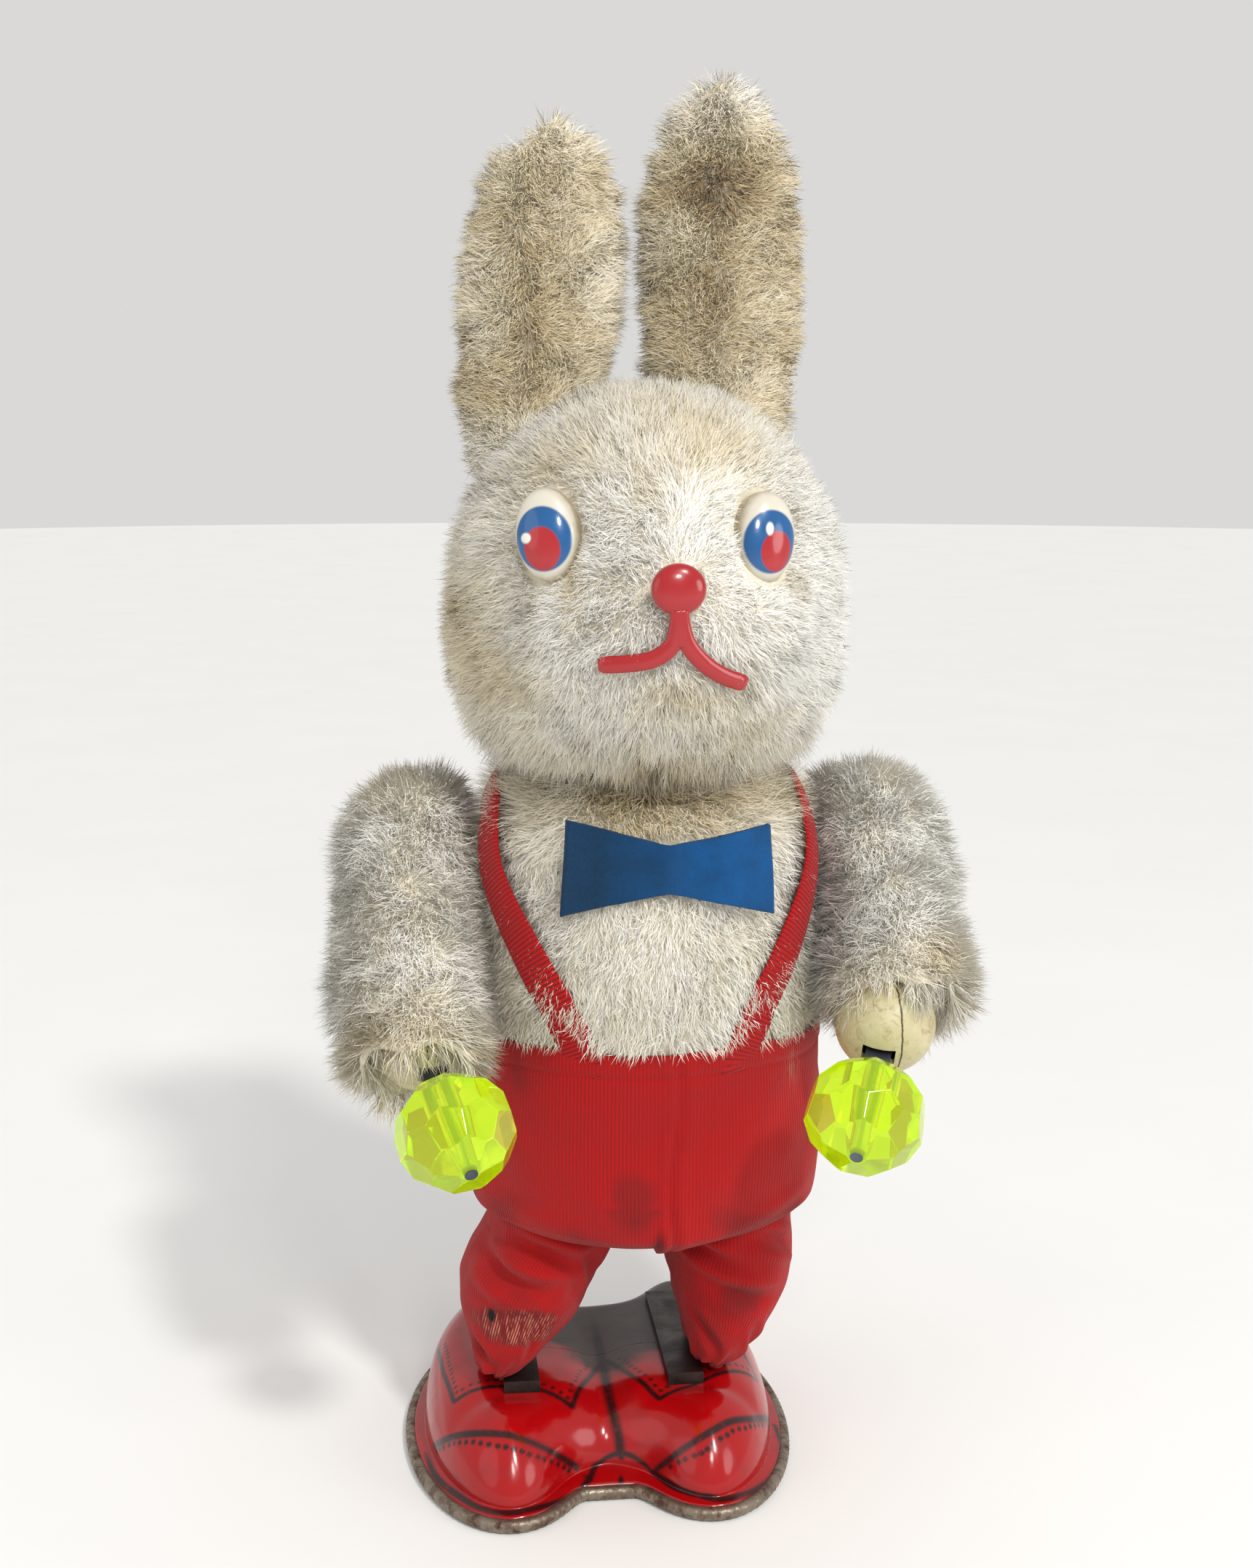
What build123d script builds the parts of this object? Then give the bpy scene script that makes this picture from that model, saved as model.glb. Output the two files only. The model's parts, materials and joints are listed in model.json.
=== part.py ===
"""Clockwork plush rabbit: tin shoes, leg strips, spring motor, beating arms, turning head.

Millimetres, +Z up, front of the toy towards -Y, the toy's own left side towards +X.
The origin is the centre of the sole, on the ground.
"""
from build123d import *
from math import acos, cos, pi, radians, sin, sqrt, tan
import os

os.makedirs("parts", exist_ok=True)

# ---------------------------------------------------------------- driving dimensions
BODY_X = 8.0            # the body stands this far to the toy's left of the shoes: bent legs
BODY_Y = -1.0
HEAD_X = 8.6
SIDES = {"left": 1, "right": -1}

# shoes: each outline is an ellipse, with a web between the two
SHOE_X = 16.3
SHOE_HALF_WIDTH = 17.0
SHOE_HALF_LENGTH = 33.2
WEB_HALF_LENGTH = 24.8
NOTCH_RADIUS = 4.0
SHOE_HEIGHT = 15.6
RIM_HEIGHT = 2.2
RIM_LIP = 1.3
SOLE_THICKNESS = 0.6
TIN = 0.5

# leg strips
STRIP_WIDTH = 6.0
STRIP_THICKNESS = 1.0
FOOT_X = 13.8
FOOT_FRONT = -14.0
FOOT_BACK = 18.0
UPRIGHT_WIDTH = 8.0
HIP_X = 16.0
HIP_Z = 45.6
HIP_TOP_Z = 58.0

# body form: height, half width, half depth of the hollow shell
BODY_STATIONS = (
    (44.0, 19.0, 16.0),
    (50.0, 26.0, 23.0),
    (60.0, 28.2, 25.6),
    (77.0, 27.6, 25.3),
    (92.0, 26.4, 24.6),
    (104.0, 26.0, 22.6),
    (112.0, 23.5, 19.0),
    (116.5, 17.0, 13.0),
)
SHELL = 0.8
PLUSH = 3.0
SKIN_GAP = 0.15
WAIST_Z = 77.0
BODY_TOP_Z = 116.5

# motor, as X from the body's centre line and Z
PLATE_Y = 9.0
PLATE_THICKNESS = 1.0
PLATE_HALF_WIDTH = 18.5
PLATE_LOW_Z = 47.0
PLATE_HIGH_Z = 96.0
PIVOT_RADIUS = 0.8
ARBOR_RADIUS = 1.3
RUNNING_GAP = 0.05
MAIN = (0.0, 68.0)
MAIN_RADIUS = 2.0
PRESSURE_ANGLE = radians(20)
GREAT_MODULE, GREAT_TEETH = 0.5, 56
SECOND_MODULE, SECOND_TEETH = 0.45, 42
THIRD_MODULE, THIRD_TEETH = 0.4, 42
PINION_TEETH = 14
SECOND_ANGLE = radians(60)
CRANK_ANGLE = radians(170)
GOVERNOR_ANGLE = radians(200)
CRANK_RADIUS = 4.5
CRANK_START = radians(-14.7)

# arms
SHOULDER_Z = 106.0
SHAFT_RADIUS = 1.5
SHAFT_HALF_LENGTH = 40.0
LEVER_Y = -13.1
HAND_RADIUS = 8.0
BEAD_RADIUS = 9.0
HANDS = {"left": (44.0, -24.0, 80.0), "right": (-29.4, -24.0, 80.0)}
BEADS = {"left": (36.8, -42.0, 71.2), "right": (-24.8, -42.0, 71.2)}
SLEEVE_X = 42.2
SLEEVE_RADIUS = 11.9

# head
HEAD_Z = 149.6
HEAD_Y = -3.0
HEAD_HALF = (31.6, 30.6, 30.4)
HEAD_SHELL_INSET = 4.6
MUZZLE_Z = 143.0
EYE_HALF = (5.4, 7.2)
EYE_YAW = 27.0
EYE_X = 16.4
EYE_MID_X = 6.6
EYE_Z = 158.0
EYE_Y = -28.6
NOSE = (8.4, -39.6, 150.7)
NOSE_RADIUS = 4.3
NECK_RADIUS = 3.0


# ---------------------------------------------------------------- helpers
def front_plane(x, y, z):
    """A sketch plane facing the front: local x is +X, local y is +Z, extrusion goes to -Y."""
    return Plane(origin=(x, y, z), x_dir=(1, 0, 0), z_dir=(0, -1, 0))


def side_plane(x, y, z):
    """A sketch plane facing +X: local x is +Y, local y is +Z."""
    return Plane(origin=(x, y, z), x_dir=(0, 1, 0), z_dir=(1, 0, 0))


def arbor_plane(centre, y):
    return front_plane(BODY_X + centre[0], y, centre[1])


def step_from(centre, distance, angle):
    return (centre[0] + distance * cos(angle), centre[1] + distance * sin(angle))


def mesh_distance(module, teeth):
    return module * (teeth + PINION_TEETH) / 2


def involute(angle):
    return tan(angle) - angle


def gear_points(module, teeth, start_angle):
    """Outline of a spur gear with thinned involute teeth, one tooth centred at start_angle."""
    pitch_radius = module * teeth / 2
    base_radius = pitch_radius * cos(PRESSURE_ANGLE)
    tip_radius = pitch_radius + 0.8 * module
    root_radius = pitch_radius - 1.1 * module
    half_tooth = 0.42 * pi / teeth + involute(PRESSURE_ANGLE)
    flank_start = max(base_radius, root_radius)
    flank_steps = 4
    points = []
    for tooth in range(teeth):
        middle = start_angle + tooth * 2 * pi / teeth
        flank = []
        for step in range(flank_steps):
            radius = flank_start + (tip_radius - flank_start) * step / (flank_steps - 1)
            roll = acos(min(1.0, base_radius / radius))
            flank.append((radius, half_tooth - involute(roll)))
        if root_radius < flank_start:
            flank.insert(0, (root_radius, flank[0][1]))
        side_a = [(r, middle - a) for r, a in flank]
        side_b = [(r, middle + a) for r, a in reversed(flank)]
        points += [(r * cos(a), r * sin(a)) for r, a in side_a + side_b]
    return points


def gear(plane, module, teeth, start_angle, thickness, bore):
    """A plain spur gear, extruded from its plane towards -Y."""
    with BuildPart() as blank:
        with BuildSketch(plane):
            with BuildLine():
                Polyline(*gear_points(module, teeth, start_angle), close=True)
            make_face()
            if bore:
                Circle(bore, mode=Mode.SUBTRACT)
        extrude(amount=thickness)
    return blank.part


def body_form(margin, stations=BODY_STATIONS):
    """The body's closed outer form, grown by margin on each side."""
    with BuildPart() as form:
        for height, half_width, half_depth in stations:
            with BuildSketch(Plane.XY.offset(height)):
                with Locations((BODY_X, BODY_Y)):
                    Ellipse(half_width + margin, half_depth + margin)
        loft()
    return form.part


def grown(stations, low_z, high_z):
    """The same stations with the two end heights moved out."""
    ends = ((low_z,) + stations[0][1:],), ((high_z,) + stations[-1][1:],)
    return ends[0] + stations[1:-1] + ends[1]


def bar(start, end, width, thickness, across):
    """A flat bar from start to end, width along the vector across."""
    path = Vector(*end) - Vector(*start)
    with BuildPart() as flat:
        with BuildSketch(Plane(origin=start, x_dir=across, z_dir=path)):
            Rectangle(width, thickness)
        extrude(amount=path.length)
    return flat.part


def save(part, name):
    part.label = name
    export_step(part, f"parts/{name}.step")


# ---------------------------------------------------------------- shoes
def shoe_outline(inset):
    """Both shoes from above, drawn inset from the rim's edge, into the open sketch."""
    with Locations((SHOE_X, 0), (-SHOE_X, 0)):
        Ellipse(SHOE_HALF_WIDTH - inset, SHOE_HALF_LENGTH - inset, rotation=0)
    Rectangle(2 * SHOE_X, 2 * (WEB_HALF_LENGTH - inset))


def notch_corners(sketch):
    """The sharp inner corners where the web meets the two ellipses."""
    return [v for v in sketch.vertices() if abs(v.Y) > WEB_HALF_LENGTH - 4]


with BuildPart() as sole_plate:
    with BuildSketch() as rim_outline:
        shoe_outline(0)
        fillet(notch_corners(rim_outline), NOTCH_RADIUS)
    extrude(amount=RIM_HEIGHT)
    with BuildSketch(Plane.XY.offset(SOLE_THICKNESS)) as pocket_outline:
        shoe_outline(RIM_LIP)
        fillet(notch_corners(pocket_outline), NOTCH_RADIUS)
    extrude(amount=RIM_HEIGHT, mode=Mode.SUBTRACT)
save(sole_plate.part, "sole_plate")


WEB_RISE = 0.84
SHOE_SWELL = ((0.0, 0.0), (0.35, 0.0), (0.62, 1.0), (0.85, 4.6), (1.0, 9.5))


def one_shoe(side, inset, low_z, height):
    with BuildPart() as shoe:
        for rise, draw_in in SHOE_SWELL:
            with BuildSketch(Plane.XY.offset(low_z + rise * height)):
                with Locations((side * SHOE_X, 0)):
                    half_length = SHOE_HALF_LENGTH - inset - 1.3 * draw_in
                    Ellipse(SHOE_HALF_WIDTH - inset - draw_in, half_length)
        loft()
    return shoe.part


def shoe_form(inset, low_z, top_z):
    """The rounded outer form of both tin shoes, drawn inset from the rim's edge."""
    height = top_z - low_z
    shoes = [one_shoe(side, inset, low_z, height) for side in (-1, 1)]
    with BuildPart() as form:
        for rise, draw_in in SHOE_SWELL:
            with BuildSketch(Plane.XY.offset(low_z + WEB_RISE * rise * height)):
                Rectangle(2 * (SHOE_X - draw_in / 2), 2 * (WEB_HALF_LENGTH - inset - draw_in))
        loft(ruled=True)
        add(shoes)
    return form.part


UPPER_INSET = RIM_LIP + 0.4
SLOT_X = (FOOT_X, -FOOT_X)
upper_outside = shoe_form(UPPER_INSET, SOLE_THICKNESS, SHOE_HEIGHT)
upper_inside = shoe_form(UPPER_INSET + TIN, SOLE_THICKNESS - 1, SHOE_HEIGHT - TIN)
with BuildPart() as shoe_upper:
    add(upper_outside)
    add(upper_inside, mode=Mode.SUBTRACT)
    with BuildSketch(Plane.XY.offset(SHOE_HEIGHT - 6)):
        with Locations(*[(x, FOOT_FRONT + 0.5) for x in SLOT_X]):
            Rectangle(STRIP_WIDTH + 0.4, STRIP_THICKNESS + 0.4)
    extrude(amount=10, mode=Mode.SUBTRACT)
save(shoe_upper.part, "shoe_upper")


# ---------------------------------------------------------------- leg strips and hips
def upright_x(side, z):
    """X of a leg strip's middle at height z: it leans, because the body stands off centre."""
    foot_x = side * (FOOT_X + STRIP_WIDTH / 2 - STRIP_THICKNESS / 2)
    hip_x = BODY_X + side * HIP_X
    share = (z - SHOE_HEIGHT) / (HIP_Z - SHOE_HEIGHT)
    return foot_x + (hip_x - foot_x) * min(1.0, share)


for name, side in SIDES.items():
    ankle = (upright_x(side, SHOE_HEIGHT + 0.1), 2, SHOE_HEIGHT + 0.1)
    knee = (upright_x(side, HIP_Z), 2, HIP_Z)
    hip = (knee[0], 2, HIP_TOP_Z)
    with BuildPart() as leg_bracket:
        with BuildSketch(Plane.XY.offset(SHOE_HEIGHT + 0.1)):
            with Locations((side * FOOT_X, (FOOT_FRONT + FOOT_BACK) / 2)):
                Rectangle(STRIP_WIDTH, FOOT_BACK - FOOT_FRONT)
        extrude(amount=STRIP_THICKNESS)
        with BuildSketch(Plane.XY.offset(SHOE_HEIGHT - 3)):
            with Locations((side * FOOT_X, FOOT_FRONT + STRIP_THICKNESS / 2)):
                Rectangle(STRIP_WIDTH, STRIP_THICKNESS)
        extrude(amount=3 + 0.1 + STRIP_THICKNESS)
        add(bar(ankle, knee, UPRIGHT_WIDTH, STRIP_THICKNESS, (0, 1, 0)))
        add(bar(knee, hip, UPRIGHT_WIDTH, STRIP_THICKNESS, (0, 1, 0)))
        with BuildSketch(side_plane(knee[0] - 1, 2, HIP_TOP_Z - 3)):
            with Locations((2, 0), (-2, 0)):
                Circle(0.8)
        extrude(amount=2, mode=Mode.SUBTRACT)
    save(leg_bracket.part, f"leg_bracket_{name}")

EAR_X = HIP_X - STRIP_THICKNESS / 2
YOKE_EAR_HALF = 7.0
with BuildPart() as hip_yoke:
    with BuildSketch(front_plane(BODY_X, PLATE_Y, 0)):
        with Locations((0, PLATE_LOW_Z - 0.5)):
            Rectangle(2 * EAR_X, 1)
    extrude(amount=2 * PLATE_Y)
    with BuildSketch(front_plane(BODY_X, YOKE_EAR_HALF, 0)):
        with Locations((EAR_X - 0.5, 52.5), (0.5 - EAR_X, 52.5)):
            Rectangle(1, HIP_TOP_Z - PLATE_LOW_Z + 1)
    extrude(amount=2 * YOKE_EAR_HALF)
    with BuildSketch(side_plane(BODY_X - 20, 2, HIP_TOP_Z - 3)):
        with Locations((2, 0), (-2, 0)):
            Circle(0.8)
    extrude(amount=40, mode=Mode.SUBTRACT)
save(hip_yoke.part, "hip_yoke")

RIVET_SHANK = 0.78
with BuildPart() as hip_rivets:
    for side in (-1, 1):
        with BuildSketch(side_plane(BODY_X + side * EAR_X, 2, HIP_TOP_Z - 3)):
            with Locations((2, 0), (-2, 0)):
                Circle(RIVET_SHANK)
        extrude(amount=STRIP_THICKNESS + 0.5, both=True)
        with BuildSketch(side_plane(BODY_X + side * (EAR_X + 1.3), 2, HIP_TOP_Z - 3)):
            with Locations((2, 0), (-2, 0)):
                Circle(1.5)
        extrude(amount=0.3, both=True)
save(hip_rivets.part, "hip_rivets")

# ---------------------------------------------------------------- motor frame
SECOND = step_from(MAIN, mesh_distance(GREAT_MODULE, GREAT_TEETH), SECOND_ANGLE)
CRANK = step_from(SECOND, mesh_distance(SECOND_MODULE, SECOND_TEETH), CRANK_ANGLE)
GOVERNOR = step_from(CRANK, mesh_distance(THIRD_MODULE, THIRD_TEETH), GOVERNOR_ANGLE)
PILLARS = ((-11.0, 50.0), (11.0, 50.0), (-15.5, 92.5), (15.5, 92.5))
PILLAR_RADIUS = 1.6
PLATE_MIDDLE_Z = (PLATE_LOW_Z + PLATE_HIGH_Z) / 2

for name, plate_back in (("front", PLATE_THICKNESS - PLATE_Y), ("back", PLATE_Y)):
    with BuildPart() as motor_plate:
        with BuildSketch(front_plane(BODY_X, plate_back, 0)):
            with Locations((0, PLATE_MIDDLE_Z)):
                RectangleRounded(2 * PLATE_HALF_WIDTH, PLATE_HIGH_Z - PLATE_LOW_Z, 4)
            with Locations(*PILLARS):
                Circle(1.0, mode=Mode.SUBTRACT)
            with Locations(MAIN):
                Circle(MAIN_RADIUS + RUNNING_GAP, mode=Mode.SUBTRACT)
            with Locations(SECOND, GOVERNOR):
                Circle(PIVOT_RADIUS + RUNNING_GAP, mode=Mode.SUBTRACT)
            with Locations(CRANK):
                Circle(ARBOR_RADIUS + RUNNING_GAP, mode=Mode.SUBTRACT)
        extrude(amount=PLATE_THICKNESS)
    save(motor_plate.part, f"motor_plate_{name}")

INNER_Y = PLATE_Y - PLATE_THICKNESS
with BuildPart() as plate_pillars:
    with BuildSketch(front_plane(BODY_X, INNER_Y, 0)):
        with Locations(*PILLARS):
            Circle(PILLAR_RADIUS)
    extrude(amount=2 * INNER_Y)
    with BuildSketch(front_plane(BODY_X, PLATE_Y + 0.5, 0)):
        with Locations(*PILLARS):
            Circle(0.97)
    extrude(amount=2 * PLATE_Y + 1)
save(plate_pillars.part, "plate_pillars")

BRACKET_X = 13.5
with BuildPart() as arm_bracket:
    with BuildSketch(front_plane(BODY_X, PLATE_Y, 0)):
        with Locations((0, PLATE_HIGH_Z + 0.5)):
            Rectangle(2 * BRACKET_X, 1)
    extrude(amount=2 * PLATE_Y)
    for side in (-1, 1):
        with BuildSketch(side_plane(BODY_X + side * (BRACKET_X - 0.5), 0, 0)):
            with Locations((0, (PLATE_HIGH_Z + SHOULDER_Z) / 2)):
                Rectangle(8, SHOULDER_Z - PLATE_HIGH_Z)
            with Locations((0, SHOULDER_Z)):
                Circle(4)
        extrude(amount=0.5, both=True)
    with BuildSketch(side_plane(BODY_X - 20, 0, SHOULDER_Z)):
        Circle(SHAFT_RADIUS + RUNNING_GAP)
    extrude(amount=40, mode=Mode.SUBTRACT)
save(arm_bracket.part, "arm_bracket")

# mainspring: half-turn arcs about two centres, so that each turn is one pitch wider
SPRING_HALF_TURNS = 12
SPRING_PITCH = 1.5
SPRING_START = 3.4
SPRING_HALF_THICKNESS = 0.22
SPRING_Y = 7.4
SPRING_WIDTH = 6.2


def spring_radius(turn):
    return SPRING_START + turn * SPRING_PITCH / 2


def spring_arcs(shift, turns):
    for turn in turns:
        centre = (0 if turn % 2 == 0 else SPRING_PITCH / 2, 0)
        start = 0 if turn % 2 == 0 else 180
        CenterArc(centre, spring_radius(turn) + shift, start, 180)


with BuildPart() as mainspring:
    with BuildSketch(arbor_plane(MAIN, SPRING_Y)):
        with BuildLine():
            spring_arcs(SPRING_HALF_THICKNESS, range(SPRING_HALF_TURNS))
            spring_arcs(-SPRING_HALF_THICKNESS, range(SPRING_HALF_TURNS))
            for end in (spring_radius(0), spring_radius(SPRING_HALF_TURNS)):
                Line((end - SPRING_HALF_THICKNESS, 0), (end + SPRING_HALF_THICKNESS, 0))
        make_face()
    extrude(amount=SPRING_WIDTH)
save(mainspring.part, "mainspring")

# ---------------------------------------------------------------- key and great wheel
KEY_Y = 27.4
KEY_END_Y = 42.0
RATCHET_Y = -1.7
with BuildPart() as main_arbor:
    with BuildSketch(arbor_plane(MAIN, KEY_Y + 5)):
        Circle(MAIN_RADIUS)
    extrude(amount=KEY_Y + 5 + PLATE_Y + 1)
save(main_arbor.part, "main_arbor")

with BuildPart() as winding_key:
    with BuildSketch(arbor_plane(MAIN, KEY_END_Y - 8)):
        Circle(3.2)
        Circle(MAIN_RADIUS + 0.02, mode=Mode.SUBTRACT)
    extrude(amount=KEY_END_Y - 8 - KEY_Y)
    with BuildSketch(Plane.XY.offset(MAIN[1])):
        with Locations((BODY_X, KEY_END_Y - 7.5)):
            Rectangle(9, 5)
        with Locations(*[(BODY_X + side * 7.5, KEY_END_Y - 6) for side in (-1, 1)]):
            Circle(6.2)
            Circle(1.8, mode=Mode.SUBTRACT)
    extrude(amount=0.6, both=True)
    with BuildSketch(arbor_plane(MAIN, KEY_Y + 5.05)):
        Circle(MAIN_RADIUS + 0.02)
    extrude(amount=6, mode=Mode.SUBTRACT)
save(winding_key.part, "winding_key")

GREAT_Y = -0.4
GREAT_THICKNESS = 1.2
save(
    gear(
        arbor_plane(MAIN, GREAT_Y),
        GREAT_MODULE,
        GREAT_TEETH,
        SECOND_ANGLE,
        GREAT_THICKNESS,
        MAIN_RADIUS + 0.02,
    ),
    "great_wheel",
)

RATCHET_TEETH = 12
RATCHET_RADIUS = 5.6
RATCHET_STEP = 2 * pi / RATCHET_TEETH
with BuildPart() as ratchet_wheel:
    with BuildSketch(arbor_plane(MAIN, RATCHET_Y)):
        with BuildLine():
            corners = []
            for tooth in range(RATCHET_TEETH):
                for radius in (RATCHET_RADIUS, RATCHET_RADIUS - 1.2):
                    turn = tooth * RATCHET_STEP
                    corners.append((radius * cos(turn), radius * sin(turn)))
            Polyline(*corners, close=True)
        make_face()
        Circle(MAIN_RADIUS + 0.02, mode=Mode.SUBTRACT)
    extrude(amount=1)
save(ratchet_wheel.part, "ratchet_wheel")

CLICK_PIVOT = (-8.6, 1.6)
with BuildPart() as click:
    with BuildSketch(arbor_plane(MAIN, RATCHET_Y)):
        with BuildLine():
            Polyline((-9.6, 2.6), (-10, -0.4), (-6.9, -2.2), (-6.3, -0.9), (-7.4, 0.4), close=True)
        make_face()
        with Locations(CLICK_PIVOT):
            Circle(1.3)
    extrude(amount=1)
save(click.part, "click")


# ---------------------------------------------------------------- small arbors and wheels
def arbor_with_pinion(centre, module, phase, pinion_back, pinion_width, front_y):
    """A turned arbor with fine pivots in both plates and its own pinion."""
    pinion = gear(arbor_plane(centre, pinion_back), module, PINION_TEETH, phase, pinion_width, 0)
    with BuildPart() as arbor:
        add(pinion)
        with BuildSketch(arbor_plane(centre, INNER_Y - 0.1)):
            Circle(ARBOR_RADIUS)
        extrude(amount=INNER_Y - 0.1 - front_y)
        with BuildSketch(arbor_plane(centre, PLATE_Y)):
            Circle(PIVOT_RADIUS)
        extrude(amount=2 * PLATE_Y)
    return arbor.part


def facing_phase(angle):
    """A pinion shows a gap, not a tooth, towards the wheel that drives it."""
    return angle + pi + pi / PINION_TEETH


SECOND_WHEEL_Y = -4.4
THIRD_WHEEL_Y = -6.7
DISC_Y = -9.5
save(
    arbor_with_pinion(SECOND, GREAT_MODULE, facing_phase(SECOND_ANGLE), 0.2, 2.4, 0.1 - INNER_Y),
    "second_arbor",
)
save(
    gear(
        arbor_plane(SECOND, SECOND_WHEEL_Y),
        SECOND_MODULE,
        SECOND_TEETH,
        CRANK_ANGLE,
        1.0,
        ARBOR_RADIUS + 0.02,
    ),
    "second_wheel",
)
save(
    gear(
        arbor_plane(CRANK, THIRD_WHEEL_Y),
        THIRD_MODULE,
        THIRD_TEETH,
        GOVERNOR_ANGLE,
        0.9,
        ARBOR_RADIUS + 0.02,
    ),
    "third_wheel",
)
save(
    arbor_with_pinion(GOVERNOR, THIRD_MODULE, facing_phase(GOVERNOR_ANGLE), -6.4, 1.3, 0.1 - INNER_Y),
    "governor_arbor",
)

crank_pinion = gear(
    arbor_plane(CRANK, -3.9), SECOND_MODULE, PINION_TEETH, facing_phase(CRANK_ANGLE), 2.2, 0
)
with BuildPart() as crank_arbor:
    add(crank_pinion)
    with BuildSketch(arbor_plane(CRANK, PLATE_Y)):
        Circle(ARBOR_RADIUS)
    extrude(amount=PLATE_Y - DISC_Y + 1.1)
save(crank_arbor.part, "crank_arbor")

CRANK_PIN = (CRANK_RADIUS * cos(CRANK_START), CRANK_RADIUS * sin(CRANK_START))
with BuildPart() as crank_disc:
    with BuildSketch(arbor_plane(CRANK, DISC_Y)):
        Circle(6)
        Circle(ARBOR_RADIUS + 0.02, mode=Mode.SUBTRACT)
    extrude(amount=1.1)
    with BuildSketch(arbor_plane(CRANK, DISC_Y - 1)):
        with Locations(CRANK_PIN):
            Circle(0.9)
    extrude(amount=1.4)
save(crank_disc.part, "crank_disc")

with BuildPart() as governor_fly:
    with BuildSketch(arbor_plane(GOVERNOR, 4.0)):
        Circle(2.4)
        Rectangle(9.2, 2.6)
        Circle(ARBOR_RADIUS + 0.02, mode=Mode.SUBTRACT)
    extrude(amount=3)
save(governor_fly.part, "governor_fly")

# ---------------------------------------------------------------- arm shaft, lever and link
SHAFT_START_X = BODY_X - SHAFT_HALF_LENGTH
with BuildPart() as arm_shaft:
    with BuildSketch(side_plane(SHAFT_START_X, 0, SHOULDER_Z)):
        Circle(SHAFT_RADIUS)
    extrude(amount=2 * SHAFT_HALF_LENGTH)
save(arm_shaft.part, "arm_shaft")

LEVER_X = BODY_X + CRANK[0]
LINK_PLAY = 0.06
LEVER_PIN_RADIUS = 0.8
with BuildPart() as arm_lever:
    with BuildSketch(side_plane(LEVER_X - 1, 0, SHOULDER_Z)):
        Circle(3.2)
        with Locations((LEVER_Y / 2, 0)):
            Rectangle(-LEVER_Y, 3)
        with Locations((LEVER_Y, 0)):
            Circle(1.7)
        Circle(SHAFT_RADIUS + 0.02, mode=Mode.SUBTRACT)
    extrude(amount=1)
    with BuildSketch(side_plane(LEVER_X, LEVER_Y, SHOULDER_Z)):
        Circle(LEVER_PIN_RADIUS)
    extrude(amount=1.6)
save(arm_lever.part, "arm_lever")

LINK_FOOT = (LEVER_X + CRANK_PIN[0], LEVER_Y, CRANK[1] + CRANK_PIN[1])
LINK_BAR_WIDTH = 2.4
LINK_HEAD = (LEVER_X + LINK_BAR_WIDTH / 2 + 0.25, LEVER_Y, SHOULDER_Z - 1.4)
with BuildPart() as crank_link:
    add(bar(LINK_FOOT, LINK_HEAD, LINK_BAR_WIDTH, 0.9, (1, 0, 0)))
    with BuildSketch(front_plane(LINK_FOOT[0], LEVER_Y + 0.45, LINK_FOOT[2])):
        Circle(2.1)
    extrude(amount=0.9)
    with BuildSketch(side_plane(LEVER_X + 0.2, LEVER_Y, SHOULDER_Z)):
        Circle(2.0)
    extrude(amount=1.1)
    with BuildSketch(side_plane(LEVER_X - 2, LEVER_Y, SHOULDER_Z)):
        Circle(LEVER_PIN_RADIUS + LINK_PLAY)
    extrude(amount=6, mode=Mode.SUBTRACT)
    with BuildSketch(front_plane(LINK_FOOT[0], LEVER_Y + 2, LINK_FOOT[2])):
        Circle(0.95)
    extrude(amount=4, mode=Mode.SUBTRACT)
save(crank_link.part, "crank_link")

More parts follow.
